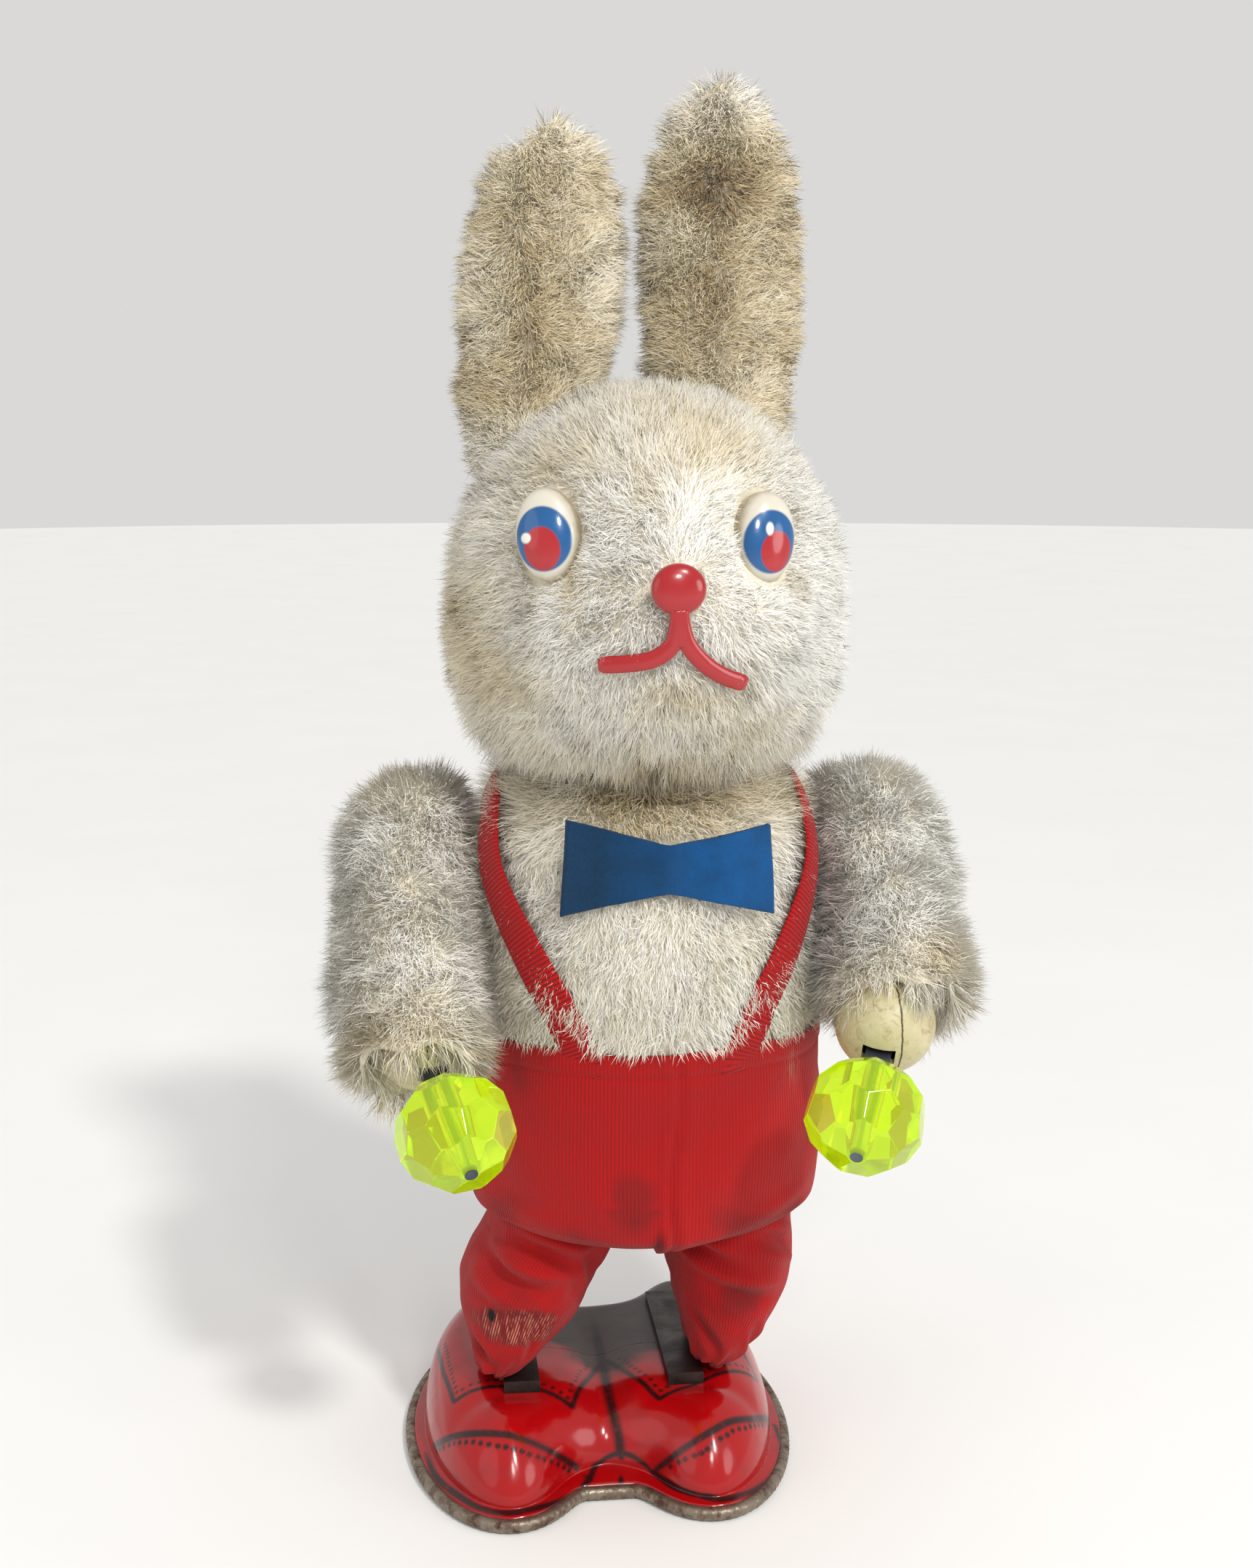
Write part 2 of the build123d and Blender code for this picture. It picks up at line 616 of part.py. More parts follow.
# ---------------------------------------------------------------- arm strips, hands, beads
STRIP_X = {name: HANDS[name][0] for name in SIDES}
ARM_STRIP_WIDTH = 4.0
SLEEVE_PROFILE = ((-9.0, 0.45), (-6.0, 0.8), (0.0, 0.97), (12.0, 1.0), (26.0, 1.0), (36.0, 0.9))
for name, side in SIDES.items():
    hand = Vector(*HANDS[name])
    bead = Vector(*BEADS[name])
    reach = (bead - hand).normalized()
    shoulder = (hand.X, 0, SHOULDER_Z)
    bead_axis = Plane(origin=bead, x_dir=(1, 0, 0), z_dir=reach)
    with BuildPart() as arm_strip:
        with BuildSketch(side_plane(hand.X, 0, SHOULDER_Z)):
            Circle(3.2)
        extrude(amount=2, both=True)
        add(bar(shoulder, tuple(hand), ARM_STRIP_WIDTH, 1.0, (1, 0, 0)))
        add(bar(tuple(hand), tuple(bead - reach * (BEAD_RADIUS - 1)), ARM_STRIP_WIDTH, 1.0, (1, 0, 0)))
        with BuildSketch(Plane(origin=bead - reach * (BEAD_RADIUS - 1), z_dir=reach)):
            Circle(1.0)
        extrude(amount=2 * BEAD_RADIUS - 1.2)
        with BuildSketch(side_plane(hand.X - 4, 0, SHOULDER_Z)):
            Circle(SHAFT_RADIUS + 0.02)
        extrude(amount=8, mode=Mode.SUBTRACT)
    save(arm_strip.part, f"arm_strip_{name}")

    with BuildPart() as hand_ball:
        with Locations(hand):
            Sphere(HAND_RADIUS)
            Sphere(HAND_RADIUS - 1.1, mode=Mode.SUBTRACT)
        with BuildSketch(Plane(origin=hand, x_dir=(1, 0, 0), z_dir=reach)):
            Rectangle(ARM_STRIP_WIDTH + 1.2, 2.8)
        extrude(amount=HAND_RADIUS + 2, mode=Mode.SUBTRACT)
        with BuildSketch(Plane(origin=hand, x_dir=(1, 0, 0), z_dir=Vector(*shoulder) - hand)):
            Rectangle(ARM_STRIP_WIDTH + 1.6, 3.4)
        extrude(amount=HAND_RADIUS + 2, mode=Mode.SUBTRACT)
    save(hand_ball.part, f"hand_{name}")

    # a faceted bead: rings of ten flat facets between seven heights along its bore
    facet_rings = 6
    with BuildPart() as bead_ball:
        for ring in range(facet_rings):
            heights = []
            for edge in (ring, ring + 1):
                angle = radians(-72 + 144 * edge / facet_rings)
                heights.append((BEAD_RADIUS * sin(angle), BEAD_RADIUS * cos(angle)))
            for height, radius in heights:
                with BuildSketch(bead_axis.offset(height)):
                    RegularPolygon(radius, 10)
            loft(ruled=True)
        with BuildSketch(bead_axis.offset(-BEAD_RADIUS)):
            Circle(1.02)
        extrude(amount=2 * BEAD_RADIUS, mode=Mode.SUBTRACT)
        with BuildSketch(bead_axis.offset(-BEAD_RADIUS - 1)):
            Rectangle(ARM_STRIP_WIDTH + 0.4, 1.4)
        extrude(amount=2.05, mode=Mode.SUBTRACT)
    save(bead_ball.part, f"bead_{name}")

    sleeve_x = BODY_X + side * SLEEVE_X
    sleeve_line = Vector(hand.X, hand.Y, hand.Z) - Vector(*shoulder)
    sleeve_middle = Vector(sleeve_x, 0, SHOULDER_Z)
    sleeve_plane = Plane(origin=sleeve_middle, x_dir=(1, 0, 0), z_dir=(0, sleeve_line.Y, sleeve_line.Z))
    with BuildPart() as sleeve:
        for along, share in SLEEVE_PROFILE:
            with BuildSketch(sleeve_plane.offset(along)):
                with Locations((-side * SLEEVE_RADIUS * (1 - share) / 2, 0)):
                    Ellipse(SLEEVE_RADIUS * share, SLEEVE_RADIUS * share)
        loft()
        with Locations(hand):
            Sphere(HAND_RADIUS + 0.1, mode=Mode.SUBTRACT)
        with BuildSketch(Plane(origin=shoulder, x_dir=(1, 0, 0), z_dir=sleeve_plane.z_dir)):
            Rectangle(6, 8)
        extrude(amount=45, mode=Mode.SUBTRACT)
        with BuildSketch(side_plane(BODY_X, 0, SHOULDER_Z)):
            Circle(4)
        extrude(amount=side * (SHAFT_HALF_LENGTH + 1), mode=Mode.SUBTRACT)
    save(sleeve.part, f"sleeve_{name}")

# ---------------------------------------------------------------- body shell, plush, trousers
shell_outside = body_form(0)
shell_inside = body_form(-SHELL, grown(BODY_STATIONS, 44.0 + SHELL, BODY_TOP_Z - SHELL))
SHAFT_HOLE = 2.4
BEARING_RADIUS = 4.4


def leg_slots(margin):
    """Openings where the leg strips pass through the underside, into the open sketch."""
    slots = [(upright_x(side, 44), 2) for side in (-1, 1)]
    with Locations(*slots):
        Rectangle(3 + 2 * margin, UPRIGHT_WIDTH + 2 + 2 * margin)


for name, keep in (("front", Keep.BOTTOM), ("back", Keep.TOP)):
    with BuildPart() as body_shell:
        add(shell_outside)
        add(shell_inside, mode=Mode.SUBTRACT)
        with BuildSketch(Plane.XY.offset(40)):
            leg_slots(0)
        extrude(amount=8, mode=Mode.SUBTRACT)
        with BuildSketch(side_plane(BODY_X - 40, 0, SHOULDER_Z)):
            Circle(SHAFT_HOLE)
        extrude(amount=80, mode=Mode.SUBTRACT)
        with BuildSketch(arbor_plane(MAIN, 60)):
            Circle(MAIN_RADIUS + 0.3)
        extrude(amount=60, mode=Mode.SUBTRACT)
        with BuildSketch(Plane.XY.offset(110)):
            with Locations((BODY_X, BODY_Y)):
                Circle(BEARING_RADIUS + 0.05)
        extrude(amount=10, mode=Mode.SUBTRACT)
        split(bisect_by=Plane(origin=(0, 0, 0), z_dir=(0, 1, 0)), keep=keep)
    save(body_shell.part, f"body_shell_{name}")

STRAP_HALF = ((12.6, -27.0, 77.4), (20.0, -23.8, 90.0), (26.6, -15.0, 104.0), (26.4, -6.0, 114.0))
STRAP_BACK = ((25.4, 6.0, 114.0), (21.0, 18.0, 104.0), (14.0, 25.4, 90.0), (10.0, 26.6, 77.4))


def strap_form(side, width, thickness):
    """A flat tape from the front waist over the shoulder to the back waist."""
    points = [(BODY_X + side * x, BODY_Y + 1 + y, z) for x, y, z in STRAP_HALF + STRAP_BACK]
    pieces = []
    for start, end in zip(points, points[1:]):
        middle = (Vector(*start) + Vector(*end)) * 0.5
        outward = Vector(middle.X - BODY_X, middle.Y - BODY_Y, 0)
        across = (Vector(*end) - Vector(*start)).cross(outward).normalized()
        stretch = (Vector(*end) - Vector(*start)).normalized() * 0.4
        first = Vector(*start) - stretch
        last = Vector(*end) + stretch
        pieces.append(bar(tuple(first), tuple(last), width, thickness, tuple(across)))
    return pieces


torso_stations = tuple(s for s in BODY_STATIONS if s[0] > WAIST_Z)
waist_station = (WAIST_Z + 0.3,) + BODY_STATIONS[3][1:]
plush_outside = body_form(PLUSH, (waist_station,) + torso_stations[:-1] + ((118.4, 18.0, 14.0),))
plush_inside = body_form(SKIN_GAP, grown(BODY_STATIONS, 44.0, BODY_TOP_Z + SKIN_GAP))
with BuildPart() as torso_plush:
    add(plush_outside)
    add(plush_inside, mode=Mode.SUBTRACT)
    for side in SIDES.values():
        add(strap_form(side, 7.2, 1.8), mode=Mode.SUBTRACT)
    with BuildSketch(side_plane(BODY_X - 50, 0, SHOULDER_Z)):
        Circle(SHAFT_HOLE)
    extrude(amount=100, mode=Mode.SUBTRACT)
    with BuildSketch(Plane.XY.offset(110)):
        with Locations((BODY_X, BODY_Y)):
            Circle(8.5)
    extrude(amount=20, mode=Mode.SUBTRACT)
save(torso_plush.part, "torso_plush")

for name, side in SIDES.items():
    with BuildPart() as suspender:
        add(strap_form(side, 6.6, 1.0))
    save(suspender.part, f"suspender_{name}")

SEAT_STATIONS = (
    (41.2, 24.0, 21.0),
    (44.0, 28.2, 25.4),
    (48.0, 29.8, 27.2),
    (60.0, 30.4, 27.8),
    (WAIST_Z, 29.9, 27.6),
)
seat_outside = body_form(0, SEAT_STATIONS)
with BuildPart() as trousers_seat:
    add(seat_outside)
    add(body_form(SKIN_GAP, grown(BODY_STATIONS, 43.4, BODY_TOP_Z)), mode=Mode.SUBTRACT)
    with BuildSketch(Plane.XY.offset(40)):
        leg_slots(0.3)
    extrude(amount=8, mode=Mode.SUBTRACT)
    with BuildSketch(arbor_plane(MAIN, 60)):
        Circle(MAIN_RADIUS + 0.6)
    extrude(amount=55, mode=Mode.SUBTRACT)
save(trousers_seat.part, "trousers_seat")

# trouser legs: height, middle X, middle Y, half width, half depth
LEG_STATIONS = {
    "left": (
        (17.2, 18.6, -5.0, 3.6, 10.5),
        (21.0, 20.6, -4.0, 6.6, 12.5),
        (27.0, 22.2, -3.0, 9.4, 14.0),
        (34.0, 22.6, -2.0, 11.0, 15.5),
        (40.8, 22.4, -2.0, 11.2, 15.5),
    ),
    "right": (
        (17.2, -17.8, -5.0, 3.6, 10.5),
        (21.0, -15.8, -4.0, 7.0, 12.5),
        (27.0, -13.2, -3.0, 10.6, 14.0),
        (34.0, -10.8, -2.0, 11.8, 15.5),
        (40.8, -7.2, -2.0, 12.0, 15.5),
    ),
}
for name, side in SIDES.items():
    low = (upright_x(side, 15), 2, 15)
    high = (upright_x(side, 45), 2, 45)
    with BuildPart() as trouser_leg:
        for height, x, y, half_width, half_depth in LEG_STATIONS[name]:
            with BuildSketch(Plane.XY.offset(height)):
                with Locations((x, y)):
                    Ellipse(half_width, half_depth)
        loft()
        add(bar(low, high, UPRIGHT_WIDTH + 1, 2.2, (0, 1, 0)), mode=Mode.SUBTRACT)
    save(trouser_leg.part, f"trouser_leg_{name}")

# ---------------------------------------------------------------- bow tie and neck
BOW_HALF = 16.2
BOW_END = 7.6
BOW_MIDDLE = 3.6
BOW_Z = 107.0
with BuildPart() as bow_tie:
    with BuildSketch(front_plane(8.6, -27.2, BOW_Z)):
        with BuildLine():
            Polyline(
                (-BOW_HALF + 0.6, BOW_END),
                (0, BOW_MIDDLE),
                (BOW_HALF, BOW_END - 1.4),
                (BOW_HALF - 1, -BOW_END + 0.6),
                (0, -BOW_MIDDLE),
                (-BOW_HALF, -BOW_END),
                close=True,
            )
        make_face()
    extrude(amount=1.3)
save(bow_tie.part, "bow_tie")

with BuildPart() as neck_bearing:
    with BuildSketch(Plane.XY.offset(BODY_TOP_Z + SKIN_GAP)):
        with Locations((BODY_X, BODY_Y)):
            Circle(8)
    extrude(amount=0.8)
    with BuildSketch(Plane.XY.offset(111)):
        with Locations((BODY_X, BODY_Y)):
            Circle(BEARING_RADIUS)
    extrude(amount=7.4)
    with BuildSketch(Plane.XY.offset(105)):
        with Locations((BODY_X, BODY_Y)):
            Circle(NECK_RADIUS + RUNNING_GAP)
    extrude(amount=20, mode=Mode.SUBTRACT)
save(neck_bearing.part, "neck_bearing")

# ---------------------------------------------------------------- head
HEAD_BOTTOM_Z = HEAD_Z - HEAD_HALF[2]
HEAD_LEVELS = (-0.99, -0.9, -0.7, -0.4, 0.0, 0.35, 0.65, 0.87, 0.985)


def head_form(inset):
    """The head's rounded form: full low cheeks, rounder crown, drawn inset all round."""
    half_height = HEAD_HALF[2] - inset
    with BuildPart() as form:
        for rise in HEAD_LEVELS:
            fullness = 2.0 if rise > 0 else 2.7
            swell = (1 - abs(rise) ** fullness) ** (1 / fullness)
            cheek = 1 - 0.07 * rise
            with BuildSketch(Plane.XY.offset(HEAD_Z + rise * half_height)):
                with Locations((HEAD_X, HEAD_Y)):
                    half_width = (HEAD_HALF[0] - inset) * swell * cheek
                    Ellipse(half_width, (HEAD_HALF[1] - inset) * swell)
        loft()
    return form.part


head_outside = head_form(0)
head_middle = head_form(HEAD_SHELL_INSET - SKIN_GAP)
shell_skin = head_form(HEAD_SHELL_INSET)
shell_hollow = head_form(HEAD_SHELL_INSET + 1.2)
EYE_SOCKET = 3.2
EYES = {"left": EYE_MID_X + EYE_X, "right": EYE_MID_X - EYE_X}


def eye_plane(name, back):
    """A plane on the eye's own axis, turned outwards, back behind its rim."""
    yaw = radians(EYE_YAW) * SIDES[name]
    outward = Vector(sin(yaw), -cos(yaw), 0.12).normalized()
    origin = Vector(EYES[name], EYE_Y, EYE_Z) - outward * back
    return Plane(origin=origin, x_dir=Vector(cos(yaw), sin(yaw), 0), z_dir=outward)


with BuildPart() as head_plush:
    add(head_outside)
    with Locations((HEAD_X, HEAD_Y - 20.5, MUZZLE_Z)):
        Sphere(14.5)
    add(head_middle, mode=Mode.SUBTRACT)
    with BuildSketch(Plane.XY.offset(HEAD_BOTTOM_Z - 5)):
        with Locations((BODY_X, BODY_Y)):
            Circle(6)
    extrude(amount=14, mode=Mode.SUBTRACT)
    for name in SIDES:
        with BuildSketch(eye_plane(name, EYE_SOCKET)):
            Ellipse(EYE_HALF[0] + 0.3, EYE_HALF[1] + 0.4)
        extrude(amount=20, mode=Mode.SUBTRACT)
        with BuildSketch(eye_plane(name, 14)):
            Circle(1.0)
        extrude(amount=20, mode=Mode.SUBTRACT)
    with BuildSketch(front_plane(NOSE[0], 0, NOSE[2])):
        with Locations((0, 0), (0, -9)):
            Rectangle(2.2, 1.0)
    extrude(amount=60, mode=Mode.SUBTRACT)
save(head_plush.part, "head_plush")

with BuildPart() as head_shell:
    add(shell_skin)
    add(shell_hollow, mode=Mode.SUBTRACT)
    with BuildSketch(Plane.XY.offset(HEAD_BOTTOM_Z)):
        with Locations((BODY_X, BODY_Y)):
            Circle(NECK_RADIUS + 0.02)
    extrude(amount=12, mode=Mode.SUBTRACT)
    for name in SIDES:
        with BuildSketch(eye_plane(name, 14)):
            Circle(1.0)
        extrude(amount=20, mode=Mode.SUBTRACT)
    with BuildSketch(front_plane(NOSE[0], 0, NOSE[2])):
        with Locations((0, 0), (0, -9)):
            Rectangle(2.2, 1.0)
    extrude(amount=60, mode=Mode.SUBTRACT)
save(head_shell.part, "head_shell")

with BuildPart() as neck_post:
    with BuildSketch(Plane.XY.offset(108.2)):
        with Locations((BODY_X, BODY_Y)):
            Circle(NECK_RADIUS)
    extrude(amount=HEAD_BOTTOM_Z + 11 - 108.2)
    with BuildSketch(Plane.XY.offset(HEAD_BOTTOM_Z + HEAD_SHELL_INSET + 3.6)):
        with Locations((BODY_X, BODY_Y)):
            Circle(7)
    extrude(amount=1)
save(neck_post.part, "neck_post")

EYE_DOME = ((-EYE_SOCKET + 0.1, 0.96), (-0.4, 1.0), (0.9, 0.88), (1.8, 0.62), (2.3, 0.25))
for name in SIDES:
    with BuildPart() as eye:
        for rise, share in EYE_DOME:
            with BuildSketch(eye_plane(name, -rise)):
                Ellipse(EYE_HALF[0] * share, EYE_HALF[1] * share)
        loft()
        with BuildSketch(eye_plane(name, 9)):
            Circle(0.9)
        extrude(amount=7)
    save(eye.part, f"eye_{name}")

with BuildPart() as nose_mouth:
    with BuildSketch(front_plane(NOSE[0], NOSE[1] + 1, NOSE[2])):
        Circle(NOSE_RADIUS)
        with Locations((0.2, -5.6)):
            Rectangle(2.8, 6)
        with BuildLine():
            ThreePointArc((-11.4, -10.9), (-5.6, -9.9), (0.6, -7.4))
        trace(line_width=2.6)
        with BuildLine():
            ThreePointArc((0.2, -7.4), (5.0, -12.0), (10.8, -14.0))
        trace(line_width=2.6)
    extrude(amount=1.0)
    with BuildSketch(front_plane(NOSE[0], NOSE[1] + 7, NOSE[2])):
        with Locations((0, 0), (0, -9)):
            Rectangle(2, 0.8)
    extrude(amount=6.4)
save(nose_mouth.part, "nose_mouth")

# ears: root, tip, half width; the left one is longer
EARS = {
    "left": ((20.8, 0.0, 167.0), (20.2, 4.0, 229.4), 12.2),
    "right": ((-12.4, 0.0, 167.0), (-6.4, 4.5, 222.4), 12.0),
}
EAR_PROFILE = (
    (0.0, 0.7, 5.4),
    (0.2, 0.86, 6.0),
    (0.5, 1.0, 6.2),
    (0.74, 0.9, 5.4),
    (0.9, 0.64, 4.2),
    (1.0, 0.3, 2.2),
)
CORE_WIDTH = 4.0
CORE_THICKNESS = 0.8
for name, (root, tip, half_width) in EARS.items():
    root, tip = Vector(*root), Vector(*tip)
    core_ends = (tuple(root), tuple(root + (tip - root) * 0.8))
    slot_ends = (tuple(root - (tip - root) * 0.1), tuple(root + (tip - root) * 0.81))
    core_bar = bar(*core_ends, CORE_WIDTH, CORE_THICKNESS, (1, 0, 0))
    core_slot = bar(*slot_ends, CORE_WIDTH + 0.2, CORE_THICKNESS + 0.2, (1, 0, 0))
    with BuildPart() as ear:
        for share, width, depth in EAR_PROFILE:
            centre = root + (tip - root) * share
            with BuildSketch(Plane.XY.offset(centre.Z)):
                with Locations((centre.X, centre.Y)):
                    Ellipse(half_width * width, depth)
        loft()
        add(head_outside, mode=Mode.SUBTRACT)
        add(core_slot, mode=Mode.SUBTRACT)
    save(ear.part, f"ear_{name}")
    with BuildPart() as ear_core:
        add(core_bar)
        add(head_outside, mode=Mode.SUBTRACT)
    save(ear_core.part, f"ear_core_{name}")
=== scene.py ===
import json
from math import cos, pi, radians, sin, tau

import bmesh
import bpy
import numpy as np
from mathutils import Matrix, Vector, kdtree, noise


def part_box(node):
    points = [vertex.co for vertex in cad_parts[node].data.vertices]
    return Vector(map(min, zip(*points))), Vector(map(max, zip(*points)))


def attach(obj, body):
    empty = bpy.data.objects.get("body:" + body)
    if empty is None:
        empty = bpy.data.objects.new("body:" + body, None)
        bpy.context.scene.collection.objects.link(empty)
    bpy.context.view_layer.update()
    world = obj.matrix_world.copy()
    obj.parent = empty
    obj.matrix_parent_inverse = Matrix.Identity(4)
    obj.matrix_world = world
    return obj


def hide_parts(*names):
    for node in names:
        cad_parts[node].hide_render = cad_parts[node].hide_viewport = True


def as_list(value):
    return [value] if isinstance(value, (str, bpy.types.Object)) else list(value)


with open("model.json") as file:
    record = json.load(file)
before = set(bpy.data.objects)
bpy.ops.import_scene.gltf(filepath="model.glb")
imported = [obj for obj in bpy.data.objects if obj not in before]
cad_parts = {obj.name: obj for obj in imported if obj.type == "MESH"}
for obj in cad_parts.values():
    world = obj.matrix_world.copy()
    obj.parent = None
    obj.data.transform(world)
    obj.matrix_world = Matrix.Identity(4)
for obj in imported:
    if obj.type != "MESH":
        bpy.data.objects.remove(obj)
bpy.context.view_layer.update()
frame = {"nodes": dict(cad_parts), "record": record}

MM = 0.001
SIDES = {"left": 1, "right": -1}


def centre_of(node):
    low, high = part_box(node)
    return np.array((low + high) / 2) / MM


def half_of(node):
    low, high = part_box(node)
    return np.array((high - low) / 2) / MM


BODY_X = 8.0
BODY_Y = -1.0
HEAD = np.array((8.6, -3.0, 149.6))
SHOULDER_Z = 106.0


# ---------------------------------------------------------------- small maths
def unit(vectors):
    return vectors / np.maximum(np.linalg.norm(vectors, axis=-1, keepdims=True), 1e-9)


def smoothstep(low, high, value):
    share = np.clip((value - low) / (high - low), 0, 1)
    return share * share * (3 - 2 * share)


def smooth_max(a, b, width):
    """The larger of two, rounded where they are within width of each other."""
    mix = np.clip(0.5 + 0.5 * (a - b) / width, 0, 1)
    return b + (a - b) * mix + width * mix * (1 - mix)


def spline(points, count):
    """count points on a smooth curve through the given points."""
    points = np.array(points, float)
    padded = np.vstack((2 * points[0] - points[1], points, 2 * points[-1] - points[-2]))
    where = np.linspace(0, len(points) - 1 - 1e-9, count)
    first = where.astype(int)
    t = (where - first)[:, None]
    a, b, c, d = (padded[first + k] for k in range(4))
    return 0.5 * (2 * b + (c - a) * t + (2 * a - 5 * b + 4 * c - d) * t**2 + (3 * b - a - 3 * c + d) * t**3)


def stations_at(stations, height):
    """A station table read at a height, smoothly between its rows."""
    table = np.array(stations, float)
    dense = spline(table, 40 * len(table))
    return [np.interp(height, dense[:, 0], dense[:, k]) for k in range(1, table.shape[1])]


def ripple(points, size, seed=0.0):
    """Smooth noise from -1 to 1, one value for each point, of that feature size."""
    shift = Vector((seed * 7.3, seed * 3.1, seed * 5.7))
    return np.array([noise.noise(Vector(p) / size + shift) for p in np.asarray(points).reshape(-1, 3)])


def curve_distance(points, curve):
    """Distance of each point to a polyline, and how far along the polyline its foot is."""
    start, step = curve[:-1], np.diff(curve, axis=0)
    length = np.linalg.norm(step, axis=1)
    before = np.concatenate(([0], np.cumsum(length)[:-1]))
    best = np.full(len(points), 1e9)
    along = np.zeros(len(points))
    for a, s, l, b in zip(start, step, length, before):
        t = np.clip(((points - a) @ s) / max(l * l, 1e-9), 0, 1)
        gap = np.linalg.norm(points - a - t[:, None] * s, axis=1)
        nearer = gap < best
        best[nearer] = gap[nearer]
        along[nearer] = b + t[nearer] * l
    return best, along


def turns(count):
    """Even angles round a full turn."""
    return np.linspace(0, tau, count, endpoint=False)


def run_of(line):
    """Length along a line at each of its points."""
    return np.concatenate(([0], np.cumsum(np.linalg.norm(np.diff(line, axis=0), axis=1))))


def hump(value, middle, width):
    """A smooth bump, 1 at its middle and about a third at its width."""
    return np.exp(-(((value - middle) / width) ** 2))


# ---------------------------------------------------------------- meshes
def place_object(name, data):
    obj = bpy.data.objects.new(name, data)
    bpy.context.scene.collection.objects.link(obj)
    return obj


def make_object(name, points, faces):
    mesh = bpy.data.meshes.new(name)
    mesh.from_pydata((np.asarray(points, float) * MM).tolist(), [], faces)
    mesh.validate()
    mesh.shade_smooth()
    return place_object(name, mesh)


def grid_faces(rows, columns, closed=True, cap_first=False, cap_last=False):
    faces = []
    for i in range(rows - 1):
        for j in range(columns if closed else columns - 1):
            k = (j + 1) % columns
            faces.append((i * columns + j, i * columns + k, (i + 1) * columns + k, (i + 1) * columns + j))
    if cap_first:
        faces.append(tuple(reversed(range(columns))))
    if cap_last:
        faces.append(tuple(range((rows - 1) * columns, rows * columns)))
    return faces


def grid_object(name, grid, closed=True, cap_first=False, cap_last=False):
    faces = grid_faces(*grid.shape[:2], closed, cap_first, cap_last)
    obj = make_object(name, grid.reshape(-1, 3), faces)
    outward(obj)
    return obj


def outward(obj):
    cut = bmesh.new()
    cut.from_mesh(obj.data)
    bmesh.ops.recalc_face_normals(cut, faces=cut.faces)
    cut.to_mesh(obj.data)
    cut.free()


def point_values(obj, name, values):
    attribute = obj.data.attributes.new(name, "FLOAT", "POINT")
    attribute.data.foreach_set("value", np.asarray(values, np.float32).ravel())


def apply_modifiers(obj):
    mesh = bpy.data.meshes.new_from_object(obj.evaluated_get(bpy.context.evaluated_depsgraph_get()))
    obj.modifiers.clear()
    obj.data = mesh


def thicken(obj, thickness, offset=-1):
    solid = obj.modifiers.new("thickness", "SOLIDIFY")
    solid.thickness, solid.offset = thickness * MM, offset
    apply_modifiers(obj)


def new_material(obj, *materials):
    obj.data.materials.clear()
    for material in materials:
        obj.data.materials.append(material)


def finish_piece(obj, body, material, replaced=()):
    if material is not None:
        new_material(obj, material)
    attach(obj, body)
    if replaced:
        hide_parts(*replaced)
    return obj


# ---------------------------------------------------------------- materials
class Surface:
    """A Principled material, and short calls that add nodes to it."""

    def __init__(self, name, **values):
        self.material = bpy.data.materials.new(name)
        self.material.use_nodes = True
        self.tree = self.material.node_tree
        self.shader = self.tree.nodes["Principled BSDF"]
        for socket, value in values.items():
            self.shader.inputs[socket.replace("_", " ")].default_value = value
        self.place = self.node("ShaderNodeTexCoord").outputs["Object"]

    def node(self, kind, inputs=(), **properties):
        made = self.tree.nodes.new(kind)
        for key, value in properties.items():
            setattr(made, key, value)
        for key, value in dict(inputs).items():
            if isinstance(value, bpy.types.NodeSocket):
                self.tree.links.new(value, made.inputs[key])
            else:
                made.inputs[key].default_value = value
        return made

    def set(self, socket, value):
        self.tree.links.new(value, self.shader.inputs[socket])

    def colour(self, value):
        self.set("Base Color", value)

    def rough(self, factor, *stops):
        self.set("Roughness", self.ramp(factor, *stops))

    def noise(self, size, detail=3.0, rough=0.55, twist=0.0, place=None):
        """Noise from 0 to 1 with features of about that size in millimetres."""
        settings = {"Vector": place or self.place, "Scale": 1 / (size * MM), "Detail": detail}
        settings |= {"Roughness": rough, "Distortion": twist}
        return self.node("ShaderNodeTexNoise", settings).outputs[0]

    def stretched(self, x, y, z):
        """The object coordinates scaled by x, y and z."""
        return self.node("ShaderNodeMapping", {"Vector": self.place, "Scale": (x, y, z)}).outputs[0]

    def maths(self, operation, a, b=0.0):
        return self.node("ShaderNodeMath", {0: a, 1: b}, operation=operation).outputs[0]

    def times(self, a, b):
        return self.maths("MULTIPLY", a, b)

    def plus(self, a, b):
        return self.maths("ADD", a, b)

    def x(self):
        return self.node("ShaderNodeSeparateXYZ", {0: self.place}).outputs[0]

    def ramp(self, factor, *stops):
        made = self.node("ShaderNodeValToRGB", {"Fac": factor})
        elements = made.color_ramp.elements
        while len(elements) < len(stops):
            elements.new(0.5)
        for element, (position, value) in zip(elements, stops):
            element.position, element.color = position, (value, value, value, 1)
        return made.outputs["Color"]

    def mix(self, factor, a, b):
        return self.node("ShaderNodeMix", {0: factor, 6: a, 7: b}, data_type="RGBA").outputs[2]

    def value(self, name):
        return self.node("ShaderNodeAttribute", attribute_name=name).outputs["Fac"]

    def bump(self, height, depth):
        """Bump whose full height is depth millimetres."""
        settings = {"Height": height, "Distance": depth * MM}
        self.set("Normal", self.node("ShaderNodeBump", settings).outputs[0])


def shade(red, green, blue):
    """A colour given as on a screen, from 0 to 255, in the linear values that nodes take."""
    linear = [c / 255 / 12.92 if c < 11 else ((c / 255 + 0.055) / 1.055) ** 2.4 for c in (red, green, blue)]
    return (*linear, 1.0)


CLOTH_RED = shade(166, 7, 9)


